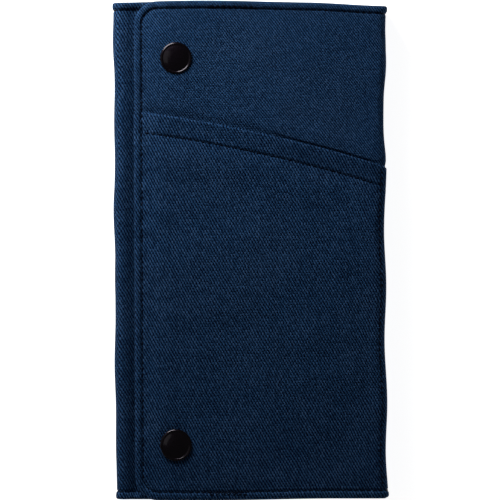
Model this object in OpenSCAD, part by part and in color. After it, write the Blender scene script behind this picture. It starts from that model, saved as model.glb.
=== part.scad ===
// Travel document organizer: a wrap-around fabric case that lies on its back.
// X runs across the case, Y towards its top edge, Z out of the front cover.
// The origin is the middle of the outer face of the back panel.

/* [Case] */
// Width of the closed case
case_w = 130; // [124:1:136]
// Height of the closed case
case_h = 235; // [225:1:245]
// Height of the front cover's outer face above the back's outer face
case_t = 22.8; // [22.8:0.2:26]
// Outside radius of the four folds
fold_r = 3.5; // [3:0.5:3.5]
// Width of the closure flap that shows beside the front cover
strip_w = 10; // [8:1:12]
// Radius of the front cover's two free corners
cover_corner_r = 11; // [6:1:14]

/* [Layers] */
// Thickness of the outer fabric
fabric_t = 0.7; // [0.5:0.1:0.7]
// Thickness of the lining
lining_t = 0.5; // [0.4:0.1:0.5]
// Thickness of the stiffening board in the two covers
board_t = 1.2; // [1:0.1:1.2]
// Thickness of the stiffening strip in the closure flap
flap_board_t = 0.8; // [0.6:0.1:0.8]
// Thickness of the stiffening strip in the spine
spine_board_t = 0.6; // [0.4:0.1:0.6]

/* [Closure] */
// Width of the closure flap from the case's left side
flap_w = 41; // [38:1:43]
// Height of the closure flap's outer face
flap_top = 16.8; // [16.6:0.1:16.8]
// Distance of the snaps from the case's left side
snap_inset = 30; // [28:1:31]
// Distance between the two snaps
snap_pitch = 183; // [160:1:190]
// Diameter of a snap cap
cap_d = 15; // [13:0.5:16]

/* [Slanted pocket] */
// Height of the pocket's mouth at the free edge
slant_left_y = 65.5; // [50:0.5:75]
// Height of the pocket's mouth at the spine
slant_right_y = 39.5; // [30:0.5:60]
// Thickness of the pocket with its empty gap
slant_pocket_t = 0.8; // [0.7:0.1:1]

/* [Binder] */
// Radius of a binder ring to the middle of its wire
ring_r = 6.4; // [6.2:0.1:6.4]
// Radius of the ring's wire
ring_wire_r = 1.2; // [1:0.1:1.2]
// Distance between two rings
ring_pitch = 70; // [50:1:80]
// Height of a clear pouch
pouch_h = 214; // [190:1:220]
// Thickness of a clear pouch
pouch_t = 0.9; // [0.8:0.1:0.9]

/* [Zip] */
// Length of the zip
zip_len = 200; // [180:1:206]
// Pitch of the zip's teeth
tooth_pitch = 2.4; // [2:0.1:3]
// Length of the zip's pull tab beyond its crossbar
pull_len = 15; // [10:1:16]

/* [Pen loop] */
// Inside radius of the pen loop
pen_r = 3.9; // [3.5:0.1:3.9]
// Length of the pen loop
pen_loop_len = 30; // [20:1:40]

/* [Hidden] */

eps = 0.01;
round_fn = 96;

navy = [0.09, 0.17, 0.29];
lining_navy = [0.10, 0.13, 0.19];
binding_navy = [0.06, 0.10, 0.18];
board_grey = [0.62, 0.60, 0.56];
gunmetal = [0.13, 0.12, 0.13];
nickel = [0.70, 0.70, 0.68];
coil_navy = [0.07, 0.11, 0.20];
ring_grey = [0.16, 0.17, 0.19];
clear_film = [0.85, 0.92, 0.95, 0.35];

// Half sizes, and where the flat panels end beside the folds
half_w = case_w / 2;
half_h = case_h / 2;
fold_gap = 0.3;
panel_end = half_w - fold_r - fold_gap;
seam_allowance = 1.5;

// Heights of the back's layers
back_board_z = fabric_t;
bag_t = 0.2;
back_lining_z = fabric_t + board_t;
back_top = back_lining_z + lining_t;

// Heights of the front cover's layers
cover_t = fabric_t + board_t + lining_t;
cover_bottom = case_t - cover_t;
cover_board_z = cover_bottom + lining_t;
cover_free_x = -half_w + strip_w;
slant_top = case_t + slant_pocket_t;

// Heights of the closure flap's layers
flap_t = fabric_t + flap_board_t + lining_t;
flap_bottom = flap_top - flap_t;
flap_board_z = flap_bottom + lining_t;
flap_free_x = -half_w + flap_w;
flap_corner_r = 8;

// Snap set
snap_x = -half_w + snap_inset;
snap_ys = [-snap_pitch / 2, snap_pitch / 2];
post_r = 1.5;
post_hole_r = 1.7;
stud_flange_r = 4.8;
stud_flange_t = 0.5;
stud_head_r = 3.1;
stud_neck_r = 2.5;
stud_neck_h = 0.9;
stud_head_h = 0.8;
socket_flange_r = 6.2;
socket_barrel_r = 5;
socket_bore_r = 3.5;
spring_r = 3.5;
spring_wire_r = 0.25;
spring_drop = 0.5;
socket_bottom = flap_top + stud_flange_t + 0.2;
socket_web_z = cover_bottom - 0.9;

// Pockets on the inner back
pocket_x0 = -47;
pocket_x1 = 43;
pocket_border = 3;
pocket_gap = 0.3;
pocket_sheet_t = 0.4;
pocket_layer_t = pocket_gap + pocket_sheet_t;
passport_y0 = -half_h + 4.5;
passport_y1 = -8;
card_y0 = -2;
card_tops = [66, 52, 38];
binding_w = 6;
binding_t = 0.4;

// Ticket pocket inside the front cover, with its mouth towards the free edge
ticket_x0 = -22;
ticket_x1 = panel_end - 1;
ticket_t = 0.8;

// Pen loop under the ticket pocket
pen_loop_t = 0.6;
pen_x = 36;
pen_base_t = 0.4;
pen_z = cover_bottom - ticket_t - pen_base_t - pen_r - pen_loop_t + 0.2;

// Binder rings and the tape that holds them
ring_ys = [-ring_pitch, 0, ring_pitch];
ring_x = half_w - 5.2 - ring_r - ring_wire_r;
ring_z = 11.2;
ring_tape_w = 14;
ring_tape_t = 0.6;
strap_in_r = 1.55;
strap_out_r = 2.05;
strap_len = 3;

// Clear pouches
pouch_x0 = -47;
header_w = 14;
pouch_x1 = ring_x;
header_x = pouch_x1 - header_w;
pouch_zs = [7.2, 8.8];
film_t = 0.3;
weld_w = 2;
seal_w = 4;
seal_drop = 8;
header_hole_r = 2.6;

// Zip along the left of the inner back
zip_x = -55;
zip_slot_w = 8.4;
tape_w = 5;
tape_t = 0.4;
teeth_gap = 0.3;
teeth_w = 1.2;
teeth_h = 1.1;
bead_h = 0.6;
teeth_len = zip_len - 6;
slider_y = 92;
slider_l = 9;
slider_w = 7;
plate_t = 0.5;
bail_w = 1.6;
bail_l = 6;
bail_wall = 0.5;
bail_room = 1.4;
slider_top = back_top + 1.7;
pull_w = 6;
pull_t = 0.8;
pull_bar = 1;
pull_z = slider_top + bail_room / 2 + 0.05;

// A flat sheet between two corners, t thick from height z
module sheet(x0, x1, y0, y1, z, t) {
    translate([x0, y0, z]) cube([x1 - x0, y1 - y0, t]);
}

// Outline of a panel whose free edge at x_free has two corners of radius r
module free_edge_outline(x_free, x_fold, h, r) {
    s = x_fold > x_free ? 1 : -1;
    x_round = x_free + s * r;
    translate([min(x_round, x_fold), -h / 2]) square([abs(x_fold - x_round), h]);
    translate([min(x_free, x_round), -h / 2 + r]) square([r, h - 2 * r]);
    for (side = [-1, 1])
        translate([x_round, side * (h / 2 - r)]) circle(r = r, $fn = round_fn);
}

// The holes that the snap posts pass through
module post_holes(z, t) {
    for (y = snap_ys)
        translate([snap_x, y, z - eps]) cylinder(r = post_hole_r, h = t + 2 * eps, $fn = round_fn);
}

// A flat empty pocket: a sheet sewn down along three sides, open at open_side
module flat_pocket(x0, x1, y0, y1, z, border, gap, t, open_side = "top") {
    open_top = open_side == "top";
    difference() {
        sheet(x0, x1, y0, y1, z, gap + t);
        sheet(
            open_top ? x0 + border : x0 - eps, x1 - border,
            y0 + border, open_top ? y1 + eps : y1 - border,
            z - eps, gap + eps
        );
    }
}

// Section of the fabric round a side of the case: two rounded folds and the flat between them
module fold_section(top, r_out, t) {
    inset = fold_r - r_out;
    r_in = r_out - t;
    translate([half_w - inset - t, fold_r]) square([t, top - 2 * fold_r]);
    for (z = [fold_r, top - fold_r])
        intersection() {
            translate([half_w - fold_r, z]) difference() {
                circle(r = r_out, $fn = round_fn);
                circle(r = r_in, $fn = round_fn);
            }
            translate([half_w - fold_r, z == fold_r ? 0 : z]) square([fold_r, fold_r]);
        }
}

module fold_strip(top, r_out, t) {
    rotate([90, 0, 0]) linear_extrude(height = case_h, center = true) fold_section(top, r_out, t);
}

// ---- Back panel

module back_outer_fabric() {
    color(navy) difference() {
        sheet(-panel_end, panel_end, -half_h, half_h, 0, back_lining_z);
        sheet(-panel_end - eps, panel_end + eps, -half_h + fabric_t, half_h - fabric_t, fabric_t, board_t + eps);
    }
}

module back_board() {
    edge = half_h - fabric_t - seam_allowance;
    color(board_grey)
        sheet(-panel_end + seam_allowance, panel_end - seam_allowance, -edge, edge, back_board_z, board_t - bag_t);
}

module back_lining() {
    slot_l = zip_len - 4;
    color(lining_navy) difference() {
        sheet(-panel_end, panel_end, -half_h, half_h, back_lining_z, lining_t);
        sheet(
            zip_x - zip_slot_w / 2, zip_x + zip_slot_w / 2, -slot_l / 2, slot_l / 2,
            back_lining_z - eps, lining_t + 2 * eps
        );
    }
}

module zip_pocket_bag() {
    edge = half_h - fabric_t - seam_allowance;
    color(lining_navy)
        sheet(-panel_end + seam_allowance, pocket_x1, -edge, edge, back_lining_z - bag_t, bag_t);
}

module passport_pocket() {
    color(lining_navy)
        flat_pocket(
            pocket_x0, pocket_x1, passport_y0, passport_y1, back_top,
            pocket_border, pocket_gap, pocket_sheet_t
        );
}

// Tape folded over the mouth of the passport pocket
module passport_pocket_binding() {
    z = back_top + pocket_layer_t;
    color(binding_navy) {
        sheet(pocket_x0, pocket_x1, passport_y1 - binding_w, passport_y1, z, binding_t);
        sheet(pocket_x0, pocket_x1, passport_y1, passport_y1 + binding_t, back_top + pocket_gap, pocket_sheet_t + binding_t);
    }
}

// Card slots lie on each other, the lowest mouth on top
module card_slot(level) {
    color(lining_navy)
        flat_pocket(
            pocket_x0 + 1, pocket_x1 - 1, card_y0, card_tops[level], back_top + level * pocket_layer_t,
            pocket_border, pocket_gap, pocket_sheet_t
        );
}

// ---- Zip

module zip_tape(side) {
    x_in = zip_x + side * (teeth_gap + teeth_w);
    x_out = x_in + side * tape_w;
    color(coil_navy)
        sheet(min(x_in, x_out), max(x_in, x_out), -zip_len / 2, zip_len / 2, back_top, tape_t);
}

// A row of teeth on a bead that runs along the tape's edge
module zip_teeth(side) {
    x_in = zip_x + side * teeth_gap;
    x_out = x_in + side * teeth_w;
    bead_w = 0.5;
    tooth_l = tooth_pitch / 2;
    count = floor(teeth_len / tooth_pitch);
    x_bead = x_out - side * bead_w;
    color(coil_navy) {
        sheet(min(x_bead, x_out), max(x_bead, x_out), -teeth_len / 2, teeth_len / 2, back_top, bead_h);
        for (i = [0 : count - 1]) {
            y = -teeth_len / 2 + (i + (side > 0 ? 0.5 : 0)) * tooth_pitch;
            sheet(min(x_in, x_out), max(x_in, x_out), y, y + tooth_l, back_top, teeth_h);
        }
    }
}

module zip_end_stops() {
    stop_l = 1.5;
    color(gunmetal)
        for (side = [-1, 1]) {
            y = side * (teeth_len / 2 + 0.2 + stop_l / 2);
            sheet(zip_x - teeth_gap - teeth_w, zip_x + teeth_gap + teeth_w, y - stop_l / 2, y + stop_l / 2, back_top, teeth_h);
        }
}

// Two plates joined by a thin wedge between the rows of teeth, with a bail for the pull
module zip_slider() {
    y0 = slider_y - slider_l / 2;
    y1 = slider_y + slider_l / 2;
    x0 = zip_x - slider_w / 2;
    x1 = zip_x + slider_w / 2;
    plate_z = slider_top - plate_t;
    low_z = back_lining_z + 0.05;
    wedge_w = 0.3;
    wedge_l = 2.4;
    lip_t = 0.6;
    color(gunmetal) {
        sheet(x0, x1, y0, y1, low_z, lining_t - 0.1);
        sheet(x0, x1, y0, y1, plate_z, plate_t);
        for (x = [x0, x1 - lip_t])
            sheet(x, x + lip_t, y0, y1, back_top + tape_t + 0.15, plate_z - back_top - tape_t - 0.15);
        sheet(
            zip_x - wedge_w / 2, zip_x + wedge_w / 2, y1 - wedge_l, y1,
            low_z, plate_z - low_z
        );
        difference() {
            sheet(zip_x - bail_w / 2, zip_x + bail_w / 2, slider_y - bail_l / 2, slider_y + bail_l / 2,
                slider_top, bail_room + bail_wall);
            sheet(zip_x - bail_w, zip_x + bail_w, slider_y - bail_l / 2 + bail_wall, slider_y + bail_l / 2 - bail_wall,
                slider_top - eps, bail_room + eps);
        }
    }
}

// A flat tab whose crossbar lies inside the slider's bail
module zip_pull() {
    window_w = 3;
    window_l = 4.5;
    y_bar = slider_y + pull_bar / 2;
    y_tip = slider_y - pull_len;
    end_r = pull_w / 2;
    color(gunmetal) difference() {
        union() {
            sheet(zip_x - end_r, zip_x + end_r, y_tip + end_r, y_bar, pull_z - pull_t / 2, pull_t);
            translate([zip_x, y_tip + end_r, pull_z - pull_t / 2]) cylinder(r = end_r, h = pull_t, $fn = round_fn);
        }
        sheet(
            zip_x - window_w / 2, zip_x + window_w / 2, slider_y - pull_bar / 2 - window_l, slider_y - pull_bar / 2,
            pull_z - pull_t, 2 * pull_t
        );
    }
}

// ---- Binder

// Tape sewn down beside the spine, with a strap round the bottom of each ring
module ring_tape() {
    tape_l = case_h - 9;
    wire_z = ring_z - ring_r;
    color(binding_navy) difference() {
        union() {
            sheet(ring_x - ring_tape_w / 2, ring_x + ring_tape_w / 2, -tape_l / 2, tape_l / 2, back_top, ring_tape_t);
            for (y = ring_ys)
                translate([ring_x - strap_len / 2, y, wire_z]) rotate([0, 90, 0])
                    cylinder(r = strap_out_r, h = strap_len, $fn = round_fn);
        }
        for (y = ring_ys)
            translate([ring_x - strap_len / 2 - eps, y, wire_z]) rotate([0, 90, 0])
                cylinder(r = strap_in_r, h = strap_len + 2 * eps, $fn = round_fn);
    }
}

module binder_rings() {
    color(ring_grey)
        for (y = ring_ys)
            translate([ring_x, y, ring_z]) rotate([90, 0, 0]) rotate_extrude($fn = round_fn)
                translate([ring_r, 0]) circle(r = ring_wire_r, $fn = 32);
}

// Two films welded round the edge, open at the top above the seal
module pouch_film(k) {
    z = pouch_zs[k];
    cavity_t = pouch_t - 2 * film_t;
    color(clear_film) difference() {
        sheet(pouch_x0, header_x, -pouch_h / 2, pouch_h / 2, z, pouch_t);
        sheet(pouch_x0 + weld_w, header_x - weld_w, -pouch_h / 2 + weld_w, pouch_h / 2 + eps, z + film_t, cavity_t);
    }
}

module pouch_header(k) {
    z = pouch_zs[k];
    wire_x = ring_x - sqrt(pow(ring_r, 2) - pow(z + pouch_t / 2 - ring_z, 2));
    color(binding_navy) difference() {
        sheet(header_x, pouch_x1, -pouch_h / 2, pouch_h / 2, z, pouch_t);
        for (y = ring_ys)
            translate([wire_x, y, z - eps]) cylinder(r = header_hole_r, h = pouch_t + 2 * eps, $fn = round_fn);
    }
}

// Press-to-close track between the two films
module pouch_seal(k) {
    y = pouch_h / 2 - seal_drop;
    color(navy)
        sheet(
            pouch_x0 + weld_w, header_x - weld_w, y - seal_w, y,
            pouch_zs[k] + film_t, pouch_t - 2 * film_t
        );
}

// ---- Spine

module spine_outer_fabric() {
    color(navy) fold_strip(case_t, fold_r, fabric_t);
}

module spine_board() {
    color(board_grey)
        sheet(
            half_w - fabric_t - spine_board_t, half_w - fabric_t, -half_h + seam_allowance, half_h - seam_allowance,
            fold_r, case_t - 2 * fold_r
        );
}

module spine_lining() {
    color(lining_navy) fold_strip(case_t, fold_r - fabric_t - spine_board_t, lining_t);
}

// ---- Front cover

module cover_outer_fabric() {
    shell_t = fabric_t + board_t;
    color(navy) difference() {
        translate([0, 0, cover_board_z]) linear_extrude(height = shell_t)
            free_edge_outline(cover_free_x, panel_end, case_h, cover_corner_r);
        translate([0, 0, cover_board_z - eps]) linear_extrude(height = board_t + eps)
            free_edge_outline(cover_free_x + fabric_t, panel_end + 1, case_h - 2 * fabric_t, cover_corner_r - fabric_t);
        post_holes(cover_board_z, shell_t);
    }
}

module cover_board() {
    inset = fabric_t + seam_allowance;
    color(board_grey) difference() {
        translate([0, 0, cover_board_z]) linear_extrude(height = board_t)
            free_edge_outline(cover_free_x + inset, panel_end - seam_allowance, case_h - 2 * inset, cover_corner_r - inset);
        post_holes(cover_board_z, board_t);
    }
}

module cover_lining() {
    color(lining_navy) difference() {
        translate([0, 0, cover_bottom]) linear_extrude(height = lining_t)
            free_edge_outline(cover_free_x, panel_end, case_h, cover_corner_r);
        post_holes(cover_bottom, lining_t);
    }
}

// Outline of everything on the cover below the slanted mouth
module slant_outline(drop) {
    x0 = cover_free_x - 1;
    slope = (slant_right_y - slant_left_y) / (panel_end - cover_free_x);
    polygon([
        [x0, -half_h - 1], [panel_end, -half_h - 1],
        [panel_end, slant_right_y - drop], [x0, slant_left_y - slope - drop]
    ]);
}

module slant_pocket() {
    border = 4;
    gap = slant_pocket_t - 0.5;
    color(navy) difference() {
        translate([0, 0, case_t]) linear_extrude(height = slant_pocket_t) intersection() {
            free_edge_outline(cover_free_x, panel_end, case_h, cover_corner_r);
            slant_outline(0);
        }
        translate([0, 0, case_t - eps]) linear_extrude(height = gap + eps) intersection() {
            free_edge_outline(cover_free_x + border, panel_end - border, case_h - 2 * border, cover_corner_r - border);
            slant_outline(-10);
        }
        post_holes(case_t, slant_pocket_t);
    }
}

module ticket_pocket() {
    z = cover_bottom - ticket_t;
    gap = ticket_t - pocket_sheet_t;
    edge = half_h - seam_allowance;
    color(lining_navy) difference() {
        sheet(ticket_x0, ticket_x1, -edge, edge, z, ticket_t);
        sheet(
            ticket_x0 - eps, ticket_x1 - pocket_border, -edge + pocket_border, edge - pocket_border,
            z + pocket_sheet_t, gap + eps
        );
    }
}

// Tape folded over the mouth of the ticket pocket
module ticket_pocket_binding() {
    z = cover_bottom - ticket_t - binding_t;
    edge = half_h - seam_allowance;
    color(binding_navy) {
        sheet(ticket_x0, ticket_x0 + binding_w, -edge, edge, z, binding_t);
        sheet(ticket_x0 - binding_t, ticket_x0, -edge, edge, z, binding_t + pocket_sheet_t);
    }
}

// Elastic loop under the ticket pocket
module pen_loop() {
    y_mid = 30;
    base_z = cover_bottom - ticket_t - pen_base_t;
    base_w = 2 * (pen_r + pen_loop_t);
    color(binding_navy) difference() {
        union() {
            translate([pen_x, y_mid + pen_loop_len / 2, pen_z]) rotate([90, 0, 0])
                cylinder(r = pen_r + pen_loop_t, h = pen_loop_len, $fn = round_fn);
            sheet(pen_x - base_w / 2, pen_x + base_w / 2, y_mid - pen_loop_len / 2, y_mid + pen_loop_len / 2, base_z, pen_base_t);
        }
        translate([pen_x, y_mid + pen_loop_len / 2 + eps, pen_z]) rotate([90, 0, 0])
            cylinder(r = pen_r, h = pen_loop_len + 2 * eps, $fn = round_fn);
    }
}

// Domed cap with a rolled edge, and the post that holds the socket
module snap_cap(y, base_z) {
    edge_r = 0.7;
    dome_r = 40;
    rise = 1.6;
    flare_z = socket_web_z - 0.3;
    color(gunmetal) translate([snap_x, y, 0]) {
        translate([0, 0, base_z + edge_r]) rotate_extrude($fn = round_fn)
            translate([cap_d / 2 - edge_r, 0]) circle(r = edge_r, $fn = 32);
        intersection() {
            translate([0, 0, base_z + rise - dome_r]) sphere(r = dome_r, $fn = round_fn);
            translate([0, 0, base_z + 0.4]) cylinder(r = cap_d / 2 - edge_r, h = rise, $fn = round_fn);
        }
        translate([0, 0, flare_z]) cylinder(r = post_r, h = base_z + 0.5 - flare_z, $fn = round_fn);
        translate([0, 0, flare_z]) cylinder(r = post_r + 0.6, h = 0.3, $fn = round_fn);
    }
}

module snap_socket(y) {
    groove_z = socket_bottom + spring_drop - 1.5 * spring_wire_r;
    color(nickel) translate([snap_x, y, 0]) difference() {
        union() {
            translate([0, 0, cover_bottom - 0.5]) cylinder(r = socket_flange_r, h = 0.5, $fn = round_fn);
            translate([0, 0, socket_bottom]) cylinder(r = socket_barrel_r, h = cover_bottom - socket_bottom, $fn = round_fn);
        }
        translate([0, 0, socket_bottom - eps]) cylinder(r = socket_bore_r, h = socket_web_z - socket_bottom + eps, $fn = round_fn);
        translate([0, 0, groove_z]) cylinder(r = spring_r + spring_wire_r + 0.1, h = 3 * spring_wire_r, $fn = round_fn);
        translate([0, 0, socket_web_z - 1]) cylinder(r = post_r + 0.1, h = 3, $fn = round_fn);
    }
}

// Split wire ring that grips each stud's neck
module snap_springs() {
    z = socket_bottom + spring_drop;
    color(nickel)
        for (y = snap_ys)
            translate([snap_x, y, z]) rotate([0, 0, 20]) rotate_extrude(angle = 320, $fn = round_fn)
                translate([spring_r, 0]) circle(r = spring_wire_r, $fn = 24);
}

// ---- Left side

module side_outer_fabric() {
    color(navy) mirror([1, 0, 0]) fold_strip(flap_top, fold_r, fabric_t);
}

module side_lining() {
    color(lining_navy) mirror([1, 0, 0]) fold_strip(flap_top, fold_r - fabric_t - 0.1, lining_t);
}

// ---- Closure flap

module flap_outer_fabric() {
    shell_t = fabric_t + flap_board_t;
    color(navy) difference() {
        translate([0, 0, flap_board_z]) linear_extrude(height = shell_t)
            free_edge_outline(flap_free_x, -panel_end, case_h, flap_corner_r);
        translate([0, 0, flap_board_z - eps]) linear_extrude(height = flap_board_t + eps)
            free_edge_outline(flap_free_x - fabric_t, -panel_end - 1, case_h - 2 * fabric_t, flap_corner_r - fabric_t);
        post_holes(flap_board_z, shell_t);
    }
}

module flap_board() {
    inset = fabric_t + seam_allowance;
    color(board_grey) difference() {
        translate([0, 0, flap_board_z]) linear_extrude(height = flap_board_t)
            free_edge_outline(flap_free_x - inset, -panel_end + seam_allowance, case_h - 2 * inset, flap_corner_r - inset);
        post_holes(flap_board_z, flap_board_t);
    }
}

module flap_lining() {
    color(lining_navy) difference() {
        translate([0, 0, flap_bottom]) linear_extrude(height = lining_t)
            free_edge_outline(flap_free_x, -panel_end, case_h, flap_corner_r);
        post_holes(flap_bottom, lining_t);
    }
}

// Stud with a rounded head on a narrower neck
module snap_stud(y) {
    neck_z = flap_top + stud_flange_t;
    head_z = neck_z + stud_neck_h;
    color(nickel) translate([snap_x, y, 0]) difference() {
        union() {
            translate([0, 0, flap_top]) cylinder(r = stud_flange_r, h = stud_flange_t, $fn = round_fn);
            translate([0, 0, flap_top]) cylinder(r = stud_neck_r, h = head_z - flap_top + eps, $fn = round_fn);
            translate([0, 0, head_z]) cylinder(r = stud_head_r, h = stud_head_h / 2, $fn = round_fn);
            translate([0, 0, head_z + stud_head_h / 2])
                cylinder(r1 = stud_head_r, r2 = stud_neck_r, h = stud_head_h / 2, $fn = round_fn);
        }
        translate([0, 0, flap_top - eps]) cylinder(r = post_r + 0.1, h = head_z - flap_top, $fn = round_fn);
    }
}

// Flat-headed post that holds the stud from inside the flap
module snap_post(y) {
    head_t = 0.5;
    reach = flap_top + 1;
    color(nickel) translate([snap_x, y, 0]) {
        translate([0, 0, flap_bottom - head_t]) cylinder(r = 4.5, h = head_t, $fn = round_fn);
        translate([0, 0, flap_bottom - eps]) cylinder(r = post_r, h = reach - flap_bottom, $fn = round_fn);
    }
}

back_outer_fabric();
back_board();
back_lining();
zip_pocket_bag();
passport_pocket();
passport_pocket_binding();
card_slot(0);  // card_slot_upper
card_slot(1);  // card_slot_middle
card_slot(2);  // card_slot_lower
zip_tape(-1);  // zip_tape_left
zip_tape(1);  // zip_tape_right
zip_teeth(-1);  // zip_teeth_left
zip_teeth(1);  // zip_teeth_right
zip_end_stops();
zip_slider();
zip_pull();
ring_tape();
binder_rings();
spine_outer_fabric();
spine_board();
spine_lining();
cover_outer_fabric();
cover_board();
cover_lining();
slant_pocket();
ticket_pocket();
ticket_pocket_binding();
pen_loop();
snap_cap(snap_ys[1], case_t);  // snap_cap_upper
snap_cap(snap_ys[0], slant_top);  // snap_cap_lower
snap_socket(snap_ys[1]);  // snap_socket_upper
snap_socket(snap_ys[0]);  // snap_socket_lower
snap_springs();
side_outer_fabric();
side_lining();
flap_outer_fabric();
flap_board();
flap_lining();
snap_stud(snap_ys[1]);  // snap_stud_upper
snap_stud(snap_ys[0]);  // snap_stud_lower
snap_post(snap_ys[1]);  // snap_post_upper
snap_post(snap_ys[0]);  // snap_post_lower
pouch_film(0);  // pouch_1_film
pouch_header(0);  // pouch_1_header
pouch_seal(0);  // pouch_1_seal
pouch_film(1);  // pouch_2_film
pouch_header(1);  // pouch_2_header
pouch_seal(1);  // pouch_2_seal
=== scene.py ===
import bmesh
import bpy
import mathutils
import numpy as np
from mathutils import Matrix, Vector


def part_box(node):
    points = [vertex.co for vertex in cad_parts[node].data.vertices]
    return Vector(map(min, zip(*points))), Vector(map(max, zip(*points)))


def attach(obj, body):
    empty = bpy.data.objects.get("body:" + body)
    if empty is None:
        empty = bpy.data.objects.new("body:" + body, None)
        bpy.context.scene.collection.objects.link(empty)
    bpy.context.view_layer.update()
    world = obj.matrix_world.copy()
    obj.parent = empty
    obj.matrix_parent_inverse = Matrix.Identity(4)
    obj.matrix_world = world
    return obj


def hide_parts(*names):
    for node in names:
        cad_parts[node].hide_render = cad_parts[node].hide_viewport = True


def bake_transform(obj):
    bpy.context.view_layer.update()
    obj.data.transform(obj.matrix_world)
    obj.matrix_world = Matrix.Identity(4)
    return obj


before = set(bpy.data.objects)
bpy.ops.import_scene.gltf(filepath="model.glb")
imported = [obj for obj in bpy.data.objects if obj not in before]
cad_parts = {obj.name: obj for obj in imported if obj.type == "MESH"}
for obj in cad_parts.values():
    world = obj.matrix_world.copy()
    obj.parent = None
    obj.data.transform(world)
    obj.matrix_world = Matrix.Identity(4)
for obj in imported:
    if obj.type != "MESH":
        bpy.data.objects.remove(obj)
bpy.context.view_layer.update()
mm = 0.001

# the case's own sizes, read from the frame

coverLow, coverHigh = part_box("cover_outer_fabric")
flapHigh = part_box("flap_outer_fabric")[1]
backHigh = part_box("back_outer_fabric")[1]
spineLow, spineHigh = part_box("spine_outer_fabric")

case = {
    "halfWidth": spineHigh[0],
    "halfHeight": backHigh[1],
    "coverTop": coverHigh[2],
    "flapTop": flapHigh[2],
    "coverFree": coverLow[0],
    "flapFree": flapHigh[0],
    "foldRadius": spineHigh[0] - spineLow[0],
    "coverCorner": 11 * mm,
    "flapCorner": 8 * mm,
    "coverThick": 2.4 * mm,
    "spineThick": 1.8 * mm,
    "sideThick": 1.2 * mm,
    "flapThick": 2.0 * mm,
}

noCorner = 1 * mm           # stands for the corner of cloth that has none

seam = {
    "roll": 1.25 * mm,      # how far in from the edge the cloth rounds over
    "stitchIn": 3.5 * mm,   # from the edge to the row of stitches
    "raise": 0.60 * mm,     # how far the turned-in seam stands up
    "groove": 0.78 * mm,    # how deep the thread pulls the cloth in
    "grooveWidth": 0.58 * mm,
    "puckers": 6.5 * mm,    # from one gather of the cloth to the next
    "pucker": 0.085 * mm,   # and how high it stands
}

# the two snaps: their distance from the middle of the case and from the cover's and the flap's free edges, the
# width of the dent under a cap and the radius of the ring of cloth round it
snap = {"height": 91.5 * mm, "onCover": 20 * mm, "onFlap": 11 * mm, "dent": 8.5 * mm, "ring": 11 * mm}

# how far the soft case strays from a true box
drift = {
    "spineIn": 1.15 * mm, "spineWave": 0.42 * mm,   # the spine is drawn in between its ends
    "sideOut": 0.75 * mm, "sideWave": 0.16 * mm,    # the left side leans out towards its foot
    "freeOut": 0.55 * mm,                           # and so does the cover's free edge
    "hang": 1.75 * mm, "held": 0.6 * mm,            # that edge hangs down, less beside the snaps
    "topUp": 1.25 * mm, "topDown": 1.35 * mm,       # bow of the top edge, and of its spine end
    "footUp": 0.95 * mm,                            # bow of the foot
}


# small maths

# Goes smoothly from 0 at low to 1 at high
def ramp(value, low, high):
    t = np.clip((value - low) / (high - low), 0, 1)
    return t * t * (3 - 2 * t)


# A bump of height 1 at zero that has fallen to a third at one width
def hump(value, width):
    return np.exp(-((value / width) ** 2))


# Sum of a few plane waves, each about one wavelength long, with its own direction and phase
def waves(a, b, wavelength, seed, count=7):
    rng = np.random.default_rng(seed)
    total = 0
    for turn, phase, stretch in rng.random((count, 3)):
        angle = 2 * np.pi * turn
        k = 2 * np.pi / (wavelength * (0.7 + 0.7 * stretch))
        total = total + np.sin(k * (a * np.cos(angle) + b * np.sin(angle)) + 2 * np.pi * phase)
    return total / np.sqrt(count / 2)


# the path that the cloth takes round the case

# Each fold turns the path by a right angle, and its place is the running sum of its direction
def makeWrap():
    r = case["foldRadius"]
    fold = r * np.pi / 2
    flat = case["halfWidth"] - r
    lengths = [
        flat - case["coverFree"], fold, case["coverTop"] - 2 * r, fold, 2 * flat,
        fold, case["flapTop"] - 2 * r, fold, case["flapFree"] + flat,
    ]
    stations = np.concatenate([[0], np.cumsum(lengths)])
    turns = -np.pi / 2 * np.array([0, 0, 1, 1, 2, 2, 3, 3, 4, 4])
    s = np.linspace(-5 * mm, stations[-1] + 5 * mm, 14000)
    heading = np.interp(s, stations, turns)
    step = s[1] - s[0]
    x = np.concatenate([[0], np.cumsum((np.cos(heading[1:]) + np.cos(heading[:-1])) / 2 * step)])
    z = np.concatenate([[0], np.cumsum((np.sin(heading[1:]) + np.sin(heading[:-1])) / 2 * step)])
    x += case["coverFree"] - np.interp(0, s, x)
    z += case["coverTop"] - np.interp(0, s, z)
    return {"stations": stations, "turns": turns, "s": s, "x": x, "z": z}


wrap = makeWrap()
coverEnd, foldOneEnd, spineEnd, foldTwoEnd, backEnd = wrap["stations"][1:6]
foldThreeEnd, sideEnd, foldFourEnd, wrapEnd = wrap["stations"][6:]
spineMiddle = (foldOneEnd + spineEnd) / 2
backMiddle = (foldTwoEnd + backEnd) / 2
sideMiddle = (foldThreeEnd + sideEnd) / 2


# Thickness of the case, from its outer cloth to its lining: even on each panel, with straight lines between
def thickness(s):
    cover, spine, side, flap = case["coverThick"], case["spineThick"], case["sideThick"], case["flapThick"]
    stations = [0, coverEnd, foldOneEnd, spineEnd, foldTwoEnd, backEnd, foldThreeEnd, sideEnd, foldFourEnd]
    return np.interp(s, stations, [cover, cover, spine, spine, cover, cover, side, side, flap])


# How far a point is from the nearest free edge of the cloth; the free corners are round
def edgeDistance(s, y, corner, freeAt):
    a = np.abs(s - freeAt)
    b = case["halfHeight"] - np.abs(y)
    inCorner = (a < corner) & (b < corner)
    return np.where(inCorner, corner - np.hypot(corner - a, corner - b), np.minimum(a, b))


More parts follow.
